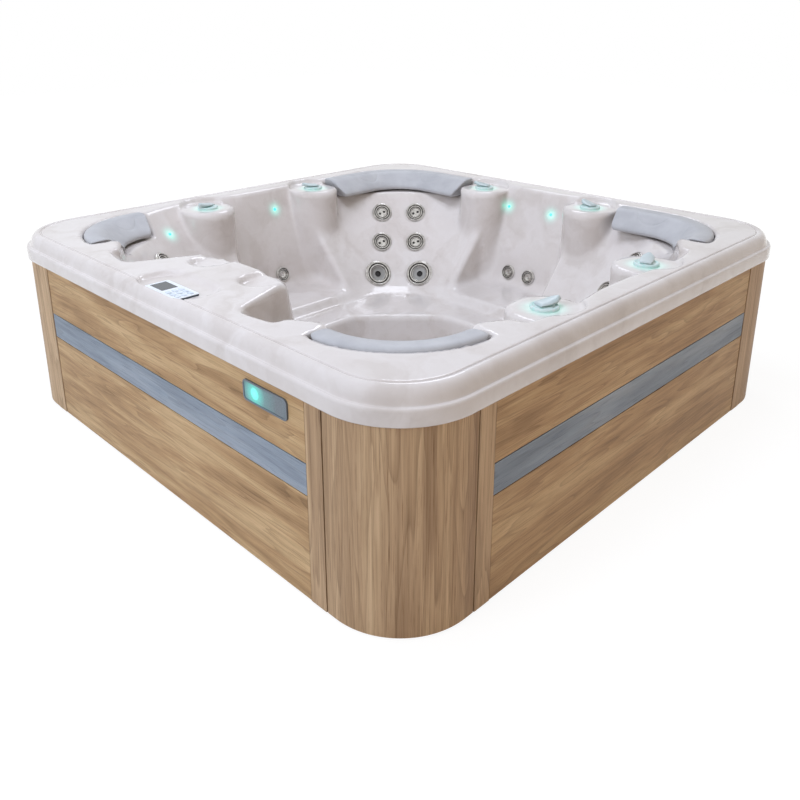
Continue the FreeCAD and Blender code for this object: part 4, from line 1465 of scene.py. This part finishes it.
@dataclass
class Jets:
    """Ringed stainless jet faces, nine that turn and eighteen fixed ones, with their bodies."""

    layout: JetLayout
    nozzle_from: float = 0.06
    mean_radius: float = 0.05
    profile_points: int = 78
    ribs: int = 24
    rib_ring: float = 0.715
    rib_width: float = 0.045
    rib_height: float = 0.0007
    small_hole: Tuple[float, float] = (0.22, 0.09)
    small_hole_radius: float = 0.105
    small_hole_edge: float = 0.010
    small_hole_depth: float = 0.005
    wide_hole: float = 0.222
    cup: float = 0.550
    gaps: Tuple[Tuple[float, float], ...] = ((0.738, 0.779), (0.556, 0.592))
    most: float = 0.6

    def profile(self, kind: JetKind) -> Array:
        """Outline of a face from its edge to its middle, as a share of the radius and a height in metres.

        Args:
            kind: What the face's middle holds.

        Returns:
            Points as share and height, evenly spaced.
        """
        rim = [
            (0.985, -0.0040), (1.0, -0.0020), (1.0, 0.0010), (0.975, 0.0026), (0.94, 0.0030), (0.925, 0.0032),
            (0.912, 0.0058), (0.885, 0.0084), (0.85, 0.0093), (0.815, 0.0084), (0.79, 0.0052), (0.78, 0.0010),
        ]
        ring = [
            (0.76, -0.0008), (0.735, 0.0008), (0.725, 0.0044), (0.70, 0.0068),
            (0.66, 0.0076), (0.62, 0.0064), (0.60, 0.0032), (0.59, 0.0002),
        ]
        middle = {
            JetKind.NOZZLE: [
                (0.565, -0.0012), (0.545, -0.0010), (0.50, -0.0052), (0.42, -0.0082), (0.34, -0.0094), (0.27, -0.0096),
                (0.25, -0.0082), (0.225, -0.0080), (0.20, -0.0110), (0.17, -0.0142), (0.08, -0.0145), (0.0, -0.0145),
            ],
            JetKind.ROTOR: [
                (0.565, -0.0008), (0.545, 0.0014), (0.52, 0.0042), (0.485, 0.0050), (0.455, 0.0038), (0.44, 0.0008),
                (0.42, -0.0006), (0.36, -0.0014), (0.28, -0.0018), (0.18, -0.0020), (0.10, -0.0020), (0.0, -0.0020),
            ],
        }
        keys = np.array(rim + ring + middle[kind])
        return evenly(keys, self.profile_points, (self.mean_radius, 1.0))

    def face(self, spot: JetSpot, segments: int) -> Tuple[Array, Array, Array, Array]:
        """One face: its outline turned about the axis, with grip ribs and pressed nozzle holes.

        The ribs are a cosine of 24 times the angle under a bell curve on the turning ring. A rotor's two
        holes are pressed in with soft edges. A cell takes the material that most of its corners have. The
        gaps between the rings and the holes take black, painted shade of the deep slots and bores behind them.

        Args:
            spot: Where the jet sits.
            segments: Points round the axis.

        Returns:
            Points, quads, triangles and the material number of each face.
        """
        kind = JetKind.NOZZLE if spot.radius > self.nozzle_from else JetKind.ROTOR
        outline = self.profile(kind)
        rows = len(outline) - 1
        angle = np.arange(segments) / segments * 2 * math.pi
        share = outline[:-1, 0][:, None] * np.ones(segments)
        on_ring = np.exp(-((share - self.rib_ring) / self.rib_width) ** 2)
        height = outline[:-1, 1][:, None] + on_ring * self.rib_height * np.cos(self.ribs * angle)
        x, y = share * np.cos(angle), share * np.sin(angle)
        if kind is JetKind.ROTOR:
            hole = np.zeros_like(share)
            for side in (-1, 1):
                far = np.hypot(x - side * self.small_hole[0], y - side * self.small_hole[1])
                hole = np.maximum(hole, 1 / (1 + np.exp((far - self.small_hole_radius) / self.small_hole_edge)))
            height = height - hole * self.small_hole_depth
        else:
            hole = np.where(share < self.wide_hole, 1.0, 0.0)
        local = np.stack([x * spot.radius, y * spot.radius, height], -1).reshape(-1, 3)
        local = np.concatenate([local, [[0.0, 0.0, outline[-1, 1]]]])
        points = spot.place + local @ frame_on(spot.axis)
        quads = grid_faces(rows, segments, True)
        k = np.arange(segments)
        base = (rows - 1) * segments
        fan = np.stack([np.full(segments, len(points) - 1), base + k, base + (k + 1) % segments], 1)
        # Black on the gaps between the rings and in the holes is painted shade of the deep slots and bores behind them.
        gap = np.any([(share > low) & (share < high) for low, high in self.gaps], axis=0)
        dark = np.maximum(hole, gap).reshape(-1)[quads].mean(1) > self.most
        cup = (share < self.cup).reshape(-1)[quads].mean(1) * float(kind is JetKind.NOZZLE) > self.most
        middle = np.full(segments, int(kind is JetKind.NOZZLE))
        return points, quads, fan, np.concatenate([np.where(dark, 1, np.where(cup, 2, 0)), middle])

    def sleeve(self, spot: JetSpot, segments: int) -> Tuple[Array, Array, Array]:
        """Body behind the wall: a stepped tube with a cup in front, closed at both ends.

        Args:
            spot: Where the jet sits.
            segments: Points round the axis.

        Returns:
            Points, quads and triangles.
        """
        steps = np.array([
            (0.60, -0.0235), (0.645, -0.0225), (0.655, -0.006), (0.68, -0.004), (0.70, -0.006), (0.70, -0.030),
            (0.86, -0.031), (0.86, -0.040), (0.70, -0.041), (0.70, -0.073), (0.66, -0.074),
        ])
        return tube(spot.place + turned(steps * [spot.radius, 1.0], segments) @ frame_on(spot.axis))

    def build(self, steel: bpy.types.Material, painted_shade_black: bpy.types.Material, plastic: bpy.types.Material) -> None:
        """Build each turning face as its own piece, and the bodies with the fixed faces as one.

        Args:
            steel: Material of the faces.
            painted_shade_black: Material of the gaps and holes.
            plastic: Material of the bodies and cups.
        """
        turning = self.layout.corner() + self.layout.sides()
        for spot in turning:
            points, quads, fan, tags = self.face(spot, 120)
            piece = make_piece(spot.name + "_face", points, quads, fan, tags)
            dress(piece, steel, painted_shade_black, plastic)
            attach(piece, spot.name)
            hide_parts(spot.name)
        parts: List[Tuple[Array, Array, Array, Array]] = []
        for spot in turning + self.layout.hidden():
            points, quads, fan = self.sleeve(spot, 32)
            parts.append((points, quads, fan, np.full(len(quads) + len(fan), 2)))
        for spot in self.layout.hidden():
            parts.append(self.face(spot, 48))
        tags = np.concatenate([part[3][:len(part[1])] for part in parts] + [part[3][len(part[1]):] for part in parts])
        piece = make_piece("jet_bodies_and_fixed_faces", *joined(parts), tags)
        dress(piece, steel, painted_shade_black, plastic)
        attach(piece, "tub")
        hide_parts("jet_bodies")
        log.info("jets: %d turning, %d fixed", len(turning), len(self.layout.hidden()))


@dataclass
class ValveLevers:
    """Six turning levers on lit bases, with their valve bodies below the shelf."""

    tub: TubSizes
    base_height: float = 0.009
    half_width: float = 0.0235
    tail: float = -0.026
    tip: float = 0.058

    names = (
        "lever_right_front", "lever_right_back", "lever_back_right",
        "lever_back_left", "lever_left_back", "lever_left_front",
    )

    def blade(self, place: Tuple[float, float]) -> Array:
        """Rings of one lever from tail to tip.

        Along the lever the half width swells from a round tail and thins to a point, and the top rises
        in a long curve to a blunt crest near the tip. Each ring is a flattened oval with a sharper ridge.

        Args:
            place: Centre of the shelf.

        Returns:
            Places by ring and by point on the ring.
        """
        u = (1 - np.cos(np.linspace(0, math.pi, 50))) / 2
        reach = self.tail + (self.tip - self.tail) * u
        swell = np.sqrt(np.maximum(1 - (2 * u - 0.78) ** 2 / 1.62, 0.0))
        half = self.half_width * swell * np.clip((1.012 - u) / 0.30, 0, 1) ** 0.5 + 0.0005
        crest = 0.010 + 0.013 * np.clip(u * 1.1, 0, 1) ** 1.6
        crest = crest * np.sqrt(np.maximum(1 - ((u - 0.5) / 0.502) ** 10, 0.001))
        under = 0.0012 + 0.007 * np.clip((u - 0.50) / 0.5, 0, 1) ** 1.5
        angle = np.linspace(0, 2 * math.pi, 33)[:-1]
        c, s = np.cos(angle), np.sin(angle)
        across = half[:, None] * np.sign(c) * np.abs(c) ** 0.8
        rise = np.where(s > 0, np.abs(s) ** 1.25, -np.abs(s) ** 0.6)
        mid = (crest + under) / 2
        thick = np.maximum((crest - under) / 2, 0.0006)
        up = mid[:, None] + thick[:, None] * rise
        heading = math.atan2(place[1], place[0]) + math.pi / 2
        x = place[0] + reach[:, None] * math.cos(heading) - across * math.sin(heading)
        y = place[1] + reach[:, None] * math.sin(heading) + across * math.cos(heading)
        z = self.tub.shelf + self.base_height + 0.0006 + up
        return np.stack([x, y, z], -1)

    def base(self, place: Tuple[float, float]) -> Array:
        """Rings of one base and its valve: a low dished ring over a long cylinder.

        Args:
            place: Centre of the shelf.

        Returns:
            Places by ring and by point on the ring.
        """
        steps = np.array([
            (0.012, -0.119), (0.030, -0.118), (0.030, -0.004), (0.0435, -0.003), (0.0440, 0.0), (0.0440, 0.004),
            (0.0430, 0.0072), (0.0405, 0.0088), (0.0370, 0.0086), (0.0350, 0.0070), (0.0320, 0.0064),
            (0.0280, 0.0066), (0.0255, 0.0082), (0.0220, 0.0088), (0.0040, 0.0088),
        ])
        return turned(steps, 64) + [place[0], place[1], self.tub.shelf]

    def build(self, cap: bpy.types.Material, lit: bpy.types.Material) -> None:
        """Build each lever as its own piece and the six bases as one.

        Args:
            cap: Material of the levers.
            lit: Material of the bases.
        """
        parts = []
        for name, place in zip(self.names, self.tub.lever_places()):
            piece = make_piece(name + "_cap", *tube(self.blade(place)))
            face_out(piece)
            dress(piece, cap)
            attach(piece, name)
            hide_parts(name)
            parts.append(tube(self.base(place)))
        piece = make_piece("lever_bases_lit", *joined(parts))
        face_out(piece)
        dress(piece, lit)
        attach(piece, "tub")
        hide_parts("lever_bases")
        log.info("levers: %d", len(parts))


@dataclass
class WallLights:
    """Domed waterline lights pressed into the walls."""

    tub: TubSizes
    height: float = 0.596
    radius: float = 0.0075
    dome: float = 0.0045
    across_share: float = 0.69
    corner_heading: float = math.radians(199.0)

    def places(self) -> List[Tuple[Array, Array]]:
        """Places and axes of the six lights.

        Returns:
            Place and axis of each light.
        """
        t = self.tub
        reach = t.bay_seat_reach + t.bay_slope * (self.height - t.side_seat)
        pocket = t.pocket_seat_radius + t.pocket_slope * (self.height - t.seat)
        across = t.bay_half * self.across_share
        spots = [
            ((-across, reach), (0.0, -1.0)), ((across / 2, reach), (0.0, -1.0)),
            ((-reach, across / 2), (1.0, 0.0)), ((reach, across / 2), (-1.0, 0.0)),
        ]
        for side in (-1, 1):
            out = np.array([math.cos(self.corner_heading), math.sin(self.corner_heading)])
            spot = -t.pocket_center + out * pocket
            spots.append(((-side * spot[0], spot[1]), (side * out[0], -out[1])))
        return [(np.array([p[0], p[1], self.height]), np.array([a[0], a[1], 0.0])) for p, a in spots]

    def build(self, lit: bpy.types.Material) -> None:
        """Build the six domes, each a quarter circle turned about its axis, as one piece.

        Args:
            lit: Material of the domes.
        """
        parts = []
        bend = np.linspace(0, math.pi / 2 - 0.02, 9)
        dome = np.stack([self.radius * np.cos(bend), self.dome * np.sin(bend) - 0.001], 1)
        steps = np.concatenate([[[self.radius * 0.9, -0.020]], dome])
        for place, axis in self.places():
            parts.append(tube(place + turned(steps, 28) @ frame_on(axis)))
        piece = make_piece("waterline_light_domes", *joined(parts))
        face_out(piece)
        dress(piece, lit)
        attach(piece, "tub")
        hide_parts("light_lenses")
        log.info("lights: %d", len(parts))


@dataclass
class CadFinishes:
    """Materials of the nodes whose CAD shape is kept."""

    panel_face: float = 0.6855

    def boards(self) -> Dict[str, bpy.types.Material]:
        """Materials of the cabinet and the frame, by node.

        Returns:
            Node's name to its material.
        """
        level = BoardFinish("laminated_oak_level_grain", Grain.LEVEL, "#a6845b", "#c29f73", "#d6b78a", "#997850").make()
        upright = BoardFinish(
            "laminated_oak_upright_grain", Grain.UPRIGHT, "#aa8c6c", "#c4a683", "#d5b893", "#9c7d5e",
        ).make()
        grey = BoardFinish(
            "limed_grey_board", Grain.LEVEL, "#828d99", "#929eab", "#a4aeb9", "#7e8996", roughness=0.5, figure=0.28,
        ).make()
        softwood = BoardFinish(
            "sawn_spruce", Grain.UPRIGHT, "#a8865a", "#c2a376", "#d4ba8e", "#9a7a50", roughness=0.7,
        ).make()
        finishes = {
            "front_upper_board": level, "front_lower_board": level, "side_upper_boards": level,
            "side_lower_boards": level, "stripe_boards": grey, "trim_strips": upright,
            "frame_uprights": softwood, "frame_rails": softwood,
        }
        for corner in ("back_left", "back_right", "front_left", "front_right"):
            finishes["corner_panel_" + corner] = upright
        return finishes

    def fittings(self) -> Dict[str, bpy.types.Material]:
        """Materials of the panel, the marker and what is inside, by node.

        Returns:
            Node's name to its material.
        """
        casing = MouldedPlastic("polypropylene_casing", "#2b2d31", "#212327", 0.42).make()
        finishes = {
            "base_pan": MouldedPlastic("vacuum_formed_abs_black", "#24262a", "#1a1b1e", 0.5).make(),
            "filter_cartridge": MouldedPlastic("pleated_polyester", "#d3d9e0", "#bfc7d0", 0.8, 400.0, 0.0004).make(),
            "pump_motor": MouldedPlastic("powder_coated_motor", "#33383f", "#2a2e34", 0.38).make(),
            "heater_tube": TurnedStainless("drawn_stainless_tube").make(),
            "plumbing": MouldedPlastic("rigid_pvc_white", "#d6d7d6", "#c9cac8", 0.35).make(),
            "suction_covers": MouldedPlastic("abs_grey", "#8d8e90", "#7c7d80", 0.4).make(),
            "marker_housing": MouldedPlastic("abs_marker_frame", "#6f7880", "#616a72", 0.4).make(),
            "marker_lens": MarkerWindow().make(),
            "panel_housing": PanelPlastic(self.panel_face).make(),
            "panel_display": DisplayWindow().make(),
        }
        for node in ("control_box", "filter_canister", "pump_wet_end", "drain_valve", "cable_gland"):
            finishes[node] = casing
        key = MouldedPlastic("silicone_keys", "#dfe7ee", "#c9d6e2", 0.5).make()
        for number in range(1, 10):
            finishes["panel_key_%d" % number] = key
        return finishes

    def dress_all(self) -> None:
        """Dress the cabinet, the panel, the marker and what is inside."""
        finishes = {**self.boards(), **self.fittings()}
        for node, material in finishes.items():
            dress_node(node, material)
        log.info("CAD nodes dressed: %d", len(finishes))


@dataclass
class Studio:
    """Pale floor, soft lamps and the camera at the photograph's angle."""

    camera_place: Tuple[float, float, float] = (2.1644, -2.1741, 1.4958)
    heading: float = 45.19
    pitch: float = -18.14
    lens: float = 36.04
    shift: float = -0.155
    floor_half: float = 14.0
    floor_level: float = -0.0005
    aim: Tuple[float, float, float] = (0.0, 0.0, 0.35)

    def camera(self) -> None:
        """Make the camera and set it as the scene's."""
        data = bpy.data.cameras.new("photo_camera")
        data.lens = self.lens
        data.sensor_width = 36.0
        data.shift_y = self.shift
        data.clip_end = 60.0
        camera = bpy.data.objects.new("photo_camera", data)
        bpy.context.scene.collection.objects.link(camera)
        yaw, pitch = math.radians(self.heading), math.radians(self.pitch)
        look = Vector((-math.cos(yaw) * math.cos(pitch), math.sin(yaw) * math.cos(pitch), math.sin(pitch)))
        camera.location = self.camera_place
        camera.rotation_euler = look.to_track_quat("-Z", "Y").to_euler()
        bpy.context.scene.camera = camera

    def floor(self) -> None:
        """Make the floor: white to the camera and in reflections, but it keeps the shadow.

        Under the tub a fifth of the painted floor shows through the white, and from 6 m on none.
        """
        u = np.linspace(-1, 1, 9)
        gy, gx = np.meshgrid(u, u, indexing="ij")
        points = np.stack([gx * self.floor_half, gy * self.floor_half, np.full_like(gx, self.floor_level)], -1)
        floor = make_piece("studio_floor", points.reshape(-1, 3), grid_faces(9, 9, False))
        material = bpy.data.materials.new("painted_studio_floor")
        material.use_nodes = True
        tree = material.node_tree
        tree.nodes.clear()
        pale = ramp(tree, noise(tree, object_place(tree), 0.8), (0.3, "#e9e9e9"), (0.7, "#ececec"))
        matt = add_node(tree, "ShaderNodeBsdfDiffuse", {"Color": pale})
        white = add_node(tree, "ShaderNodeEmission", {"Color": (1.0, 1.0, 1.0, 1.0), "Strength": 1.14})
        far = add_node(tree, "ShaderNodeVectorMath", {0: object_place(tree)}, operation="LENGTH")
        fade = add_node(tree, "ShaderNodeMapRange", {
            "Value": far.outputs["Value"], "From Min": 2.4, "From Max": 6.0, "To Min": 0.80, "To Max": 1.0,
        })
        seen = self.seen_by(tree, "Is Camera Ray", "Is Glossy Ray")
        share = add_node(tree, "ShaderNodeMath", {0: seen, 1: fade.outputs["Result"]}, operation="MULTIPLY")
        both = add_node(tree, "ShaderNodeMixShader", {
            "Fac": share.outputs["Value"], 1: matt.outputs["BSDF"], 2: white.outputs["Emission"],
        })
        add_node(tree, "ShaderNodeOutputMaterial", {"Surface": both.outputs["Shader"]})
        floor.data.materials.append(material)

    def seen_by(self, tree: bpy.types.NodeTree, *rays: str) -> bpy.types.NodeSocket:
        """One for any of the named kinds of ray, and nought for the others.

        Args:
            tree: Node tree that gets the nodes.
            rays: Names of the Light Path's outputs.

        Returns:
            The share as a socket.
        """
        path = add_node(tree, "ShaderNodeLightPath")
        seen = path.outputs[rays[0]]
        for ray in rays[1:]:
            more = add_node(tree, "ShaderNodeMath", {0: seen, 1: path.outputs[ray]}, operation="MAXIMUM")
            seen = more.outputs["Value"]
        return seen

    def world(self) -> None:
        """Light the room evenly, and show white to the camera, in gloss and through glass."""
        world = bpy.data.worlds.new("studio")
        world.use_nodes = True
        tree = world.node_tree
        tree.nodes.clear()
        seen = self.seen_by(tree, "Is Camera Ray", "Is Transmission Ray", "Is Glossy Ray")
        dim = add_node(tree, "ShaderNodeBackground", {"Color": linear("#fffaf4"), "Strength": 0.27})
        bright = add_node(tree, "ShaderNodeBackground", {"Color": (1.0, 1.0, 1.0, 1.0), "Strength": 1.0})
        both = add_node(tree, "ShaderNodeMixShader", {
            "Fac": seen, 1: dim.outputs["Background"], 2: bright.outputs["Background"],
        })
        add_node(tree, "ShaderNodeOutputWorld", {"Surface": both.outputs["Shader"]})
        bpy.context.scene.world = world

    def lamp(
        self, name: str, place: Tuple[float, float, float], size: float, power: float, tint: str, mirrored: bool
    ) -> None:
        """Hang one square soft lamp that looks at the tub.

        Args:
            name: Name of the lamp.
            place: Where it hangs.
            size: Side of its square in metres.
            power: Power in watts.
            tint: Colour of its light.
            mirrored: Whether glossy pieces show its reflection.
        """
        data = bpy.data.lights.new(name, "AREA")
        data.size = size
        data.energy = power
        data.color = linear(tint)[:3]
        lamp = bpy.data.objects.new(name, data)
        bpy.context.scene.collection.objects.link(lamp)
        lamp.location = place
        lamp.visible_glossy = mirrored
        lamp.rotation_euler = (Vector(self.aim) - Vector(place)).to_track_quat("-Z", "Y").to_euler()

    def build(self) -> None:
        """Set the camera, floor, world and lamps."""
        self.camera()
        self.floor()
        self.world()
        self.lamp("soft_lamp_front", (0.1, -5.0, 3.0), 2.9, 126.0, "#e8efff", False)
        self.lamp("soft_lamp_side", (5.0, 0.0, 1.4), 2.0, 26.0, "#ffd3a0", False)
        self.lamp("soft_lamp_top", (-0.2, -0.9, 4.4), 2.2, 106.0, "#e4ecff", False)
        self.lamp("soft_lamp_back", (-1.6, 2.2, 3.8), 1.4, 26.0, "#eef3ff", True)
        bpy.context.scene.view_settings.view_transform = "Standard"


def main() -> None:
    """Build the tub's looks in order."""
    logging.basicConfig(level=logging.INFO)
    tub = TubSizes()
    layout = JetLayout(tub)
    TubShell(tub, layout).build(PearlAcrylic().make())
    HeadPillows(tub).build(FoamSkin().make())
    # Black for the jets' gaps and holes: painted shade of their deep slots and bores.
    painted_shade_black = MouldedPlastic("abs_black_painted_shade", "#1b1b1c", "#131314", 0.5).make()
    grey = MouldedPlastic("abs_jet_body", "#a3a29e", "#91908c", 0.45).make()
    Jets(layout).build(TurnedStainless().make(), painted_shade_black, grey)
    cap = MouldedPlastic("abs_lever_cap", "#c6d2d2", "#b4c3c4", 0.25).make()
    ValveLevers(tub).build(cap, LitResin("acrylic_lever_base", "#d3dddc", "#b4dbd5", 0.05).make())
    WallLights(tub).build(LitResin("acrylic_light_dome", "#8ff2e4", "#25f0cc", 3.0).make())
    CadFinishes().dress_all()
    Studio().build()


if __name__ == "__main__":
    main()
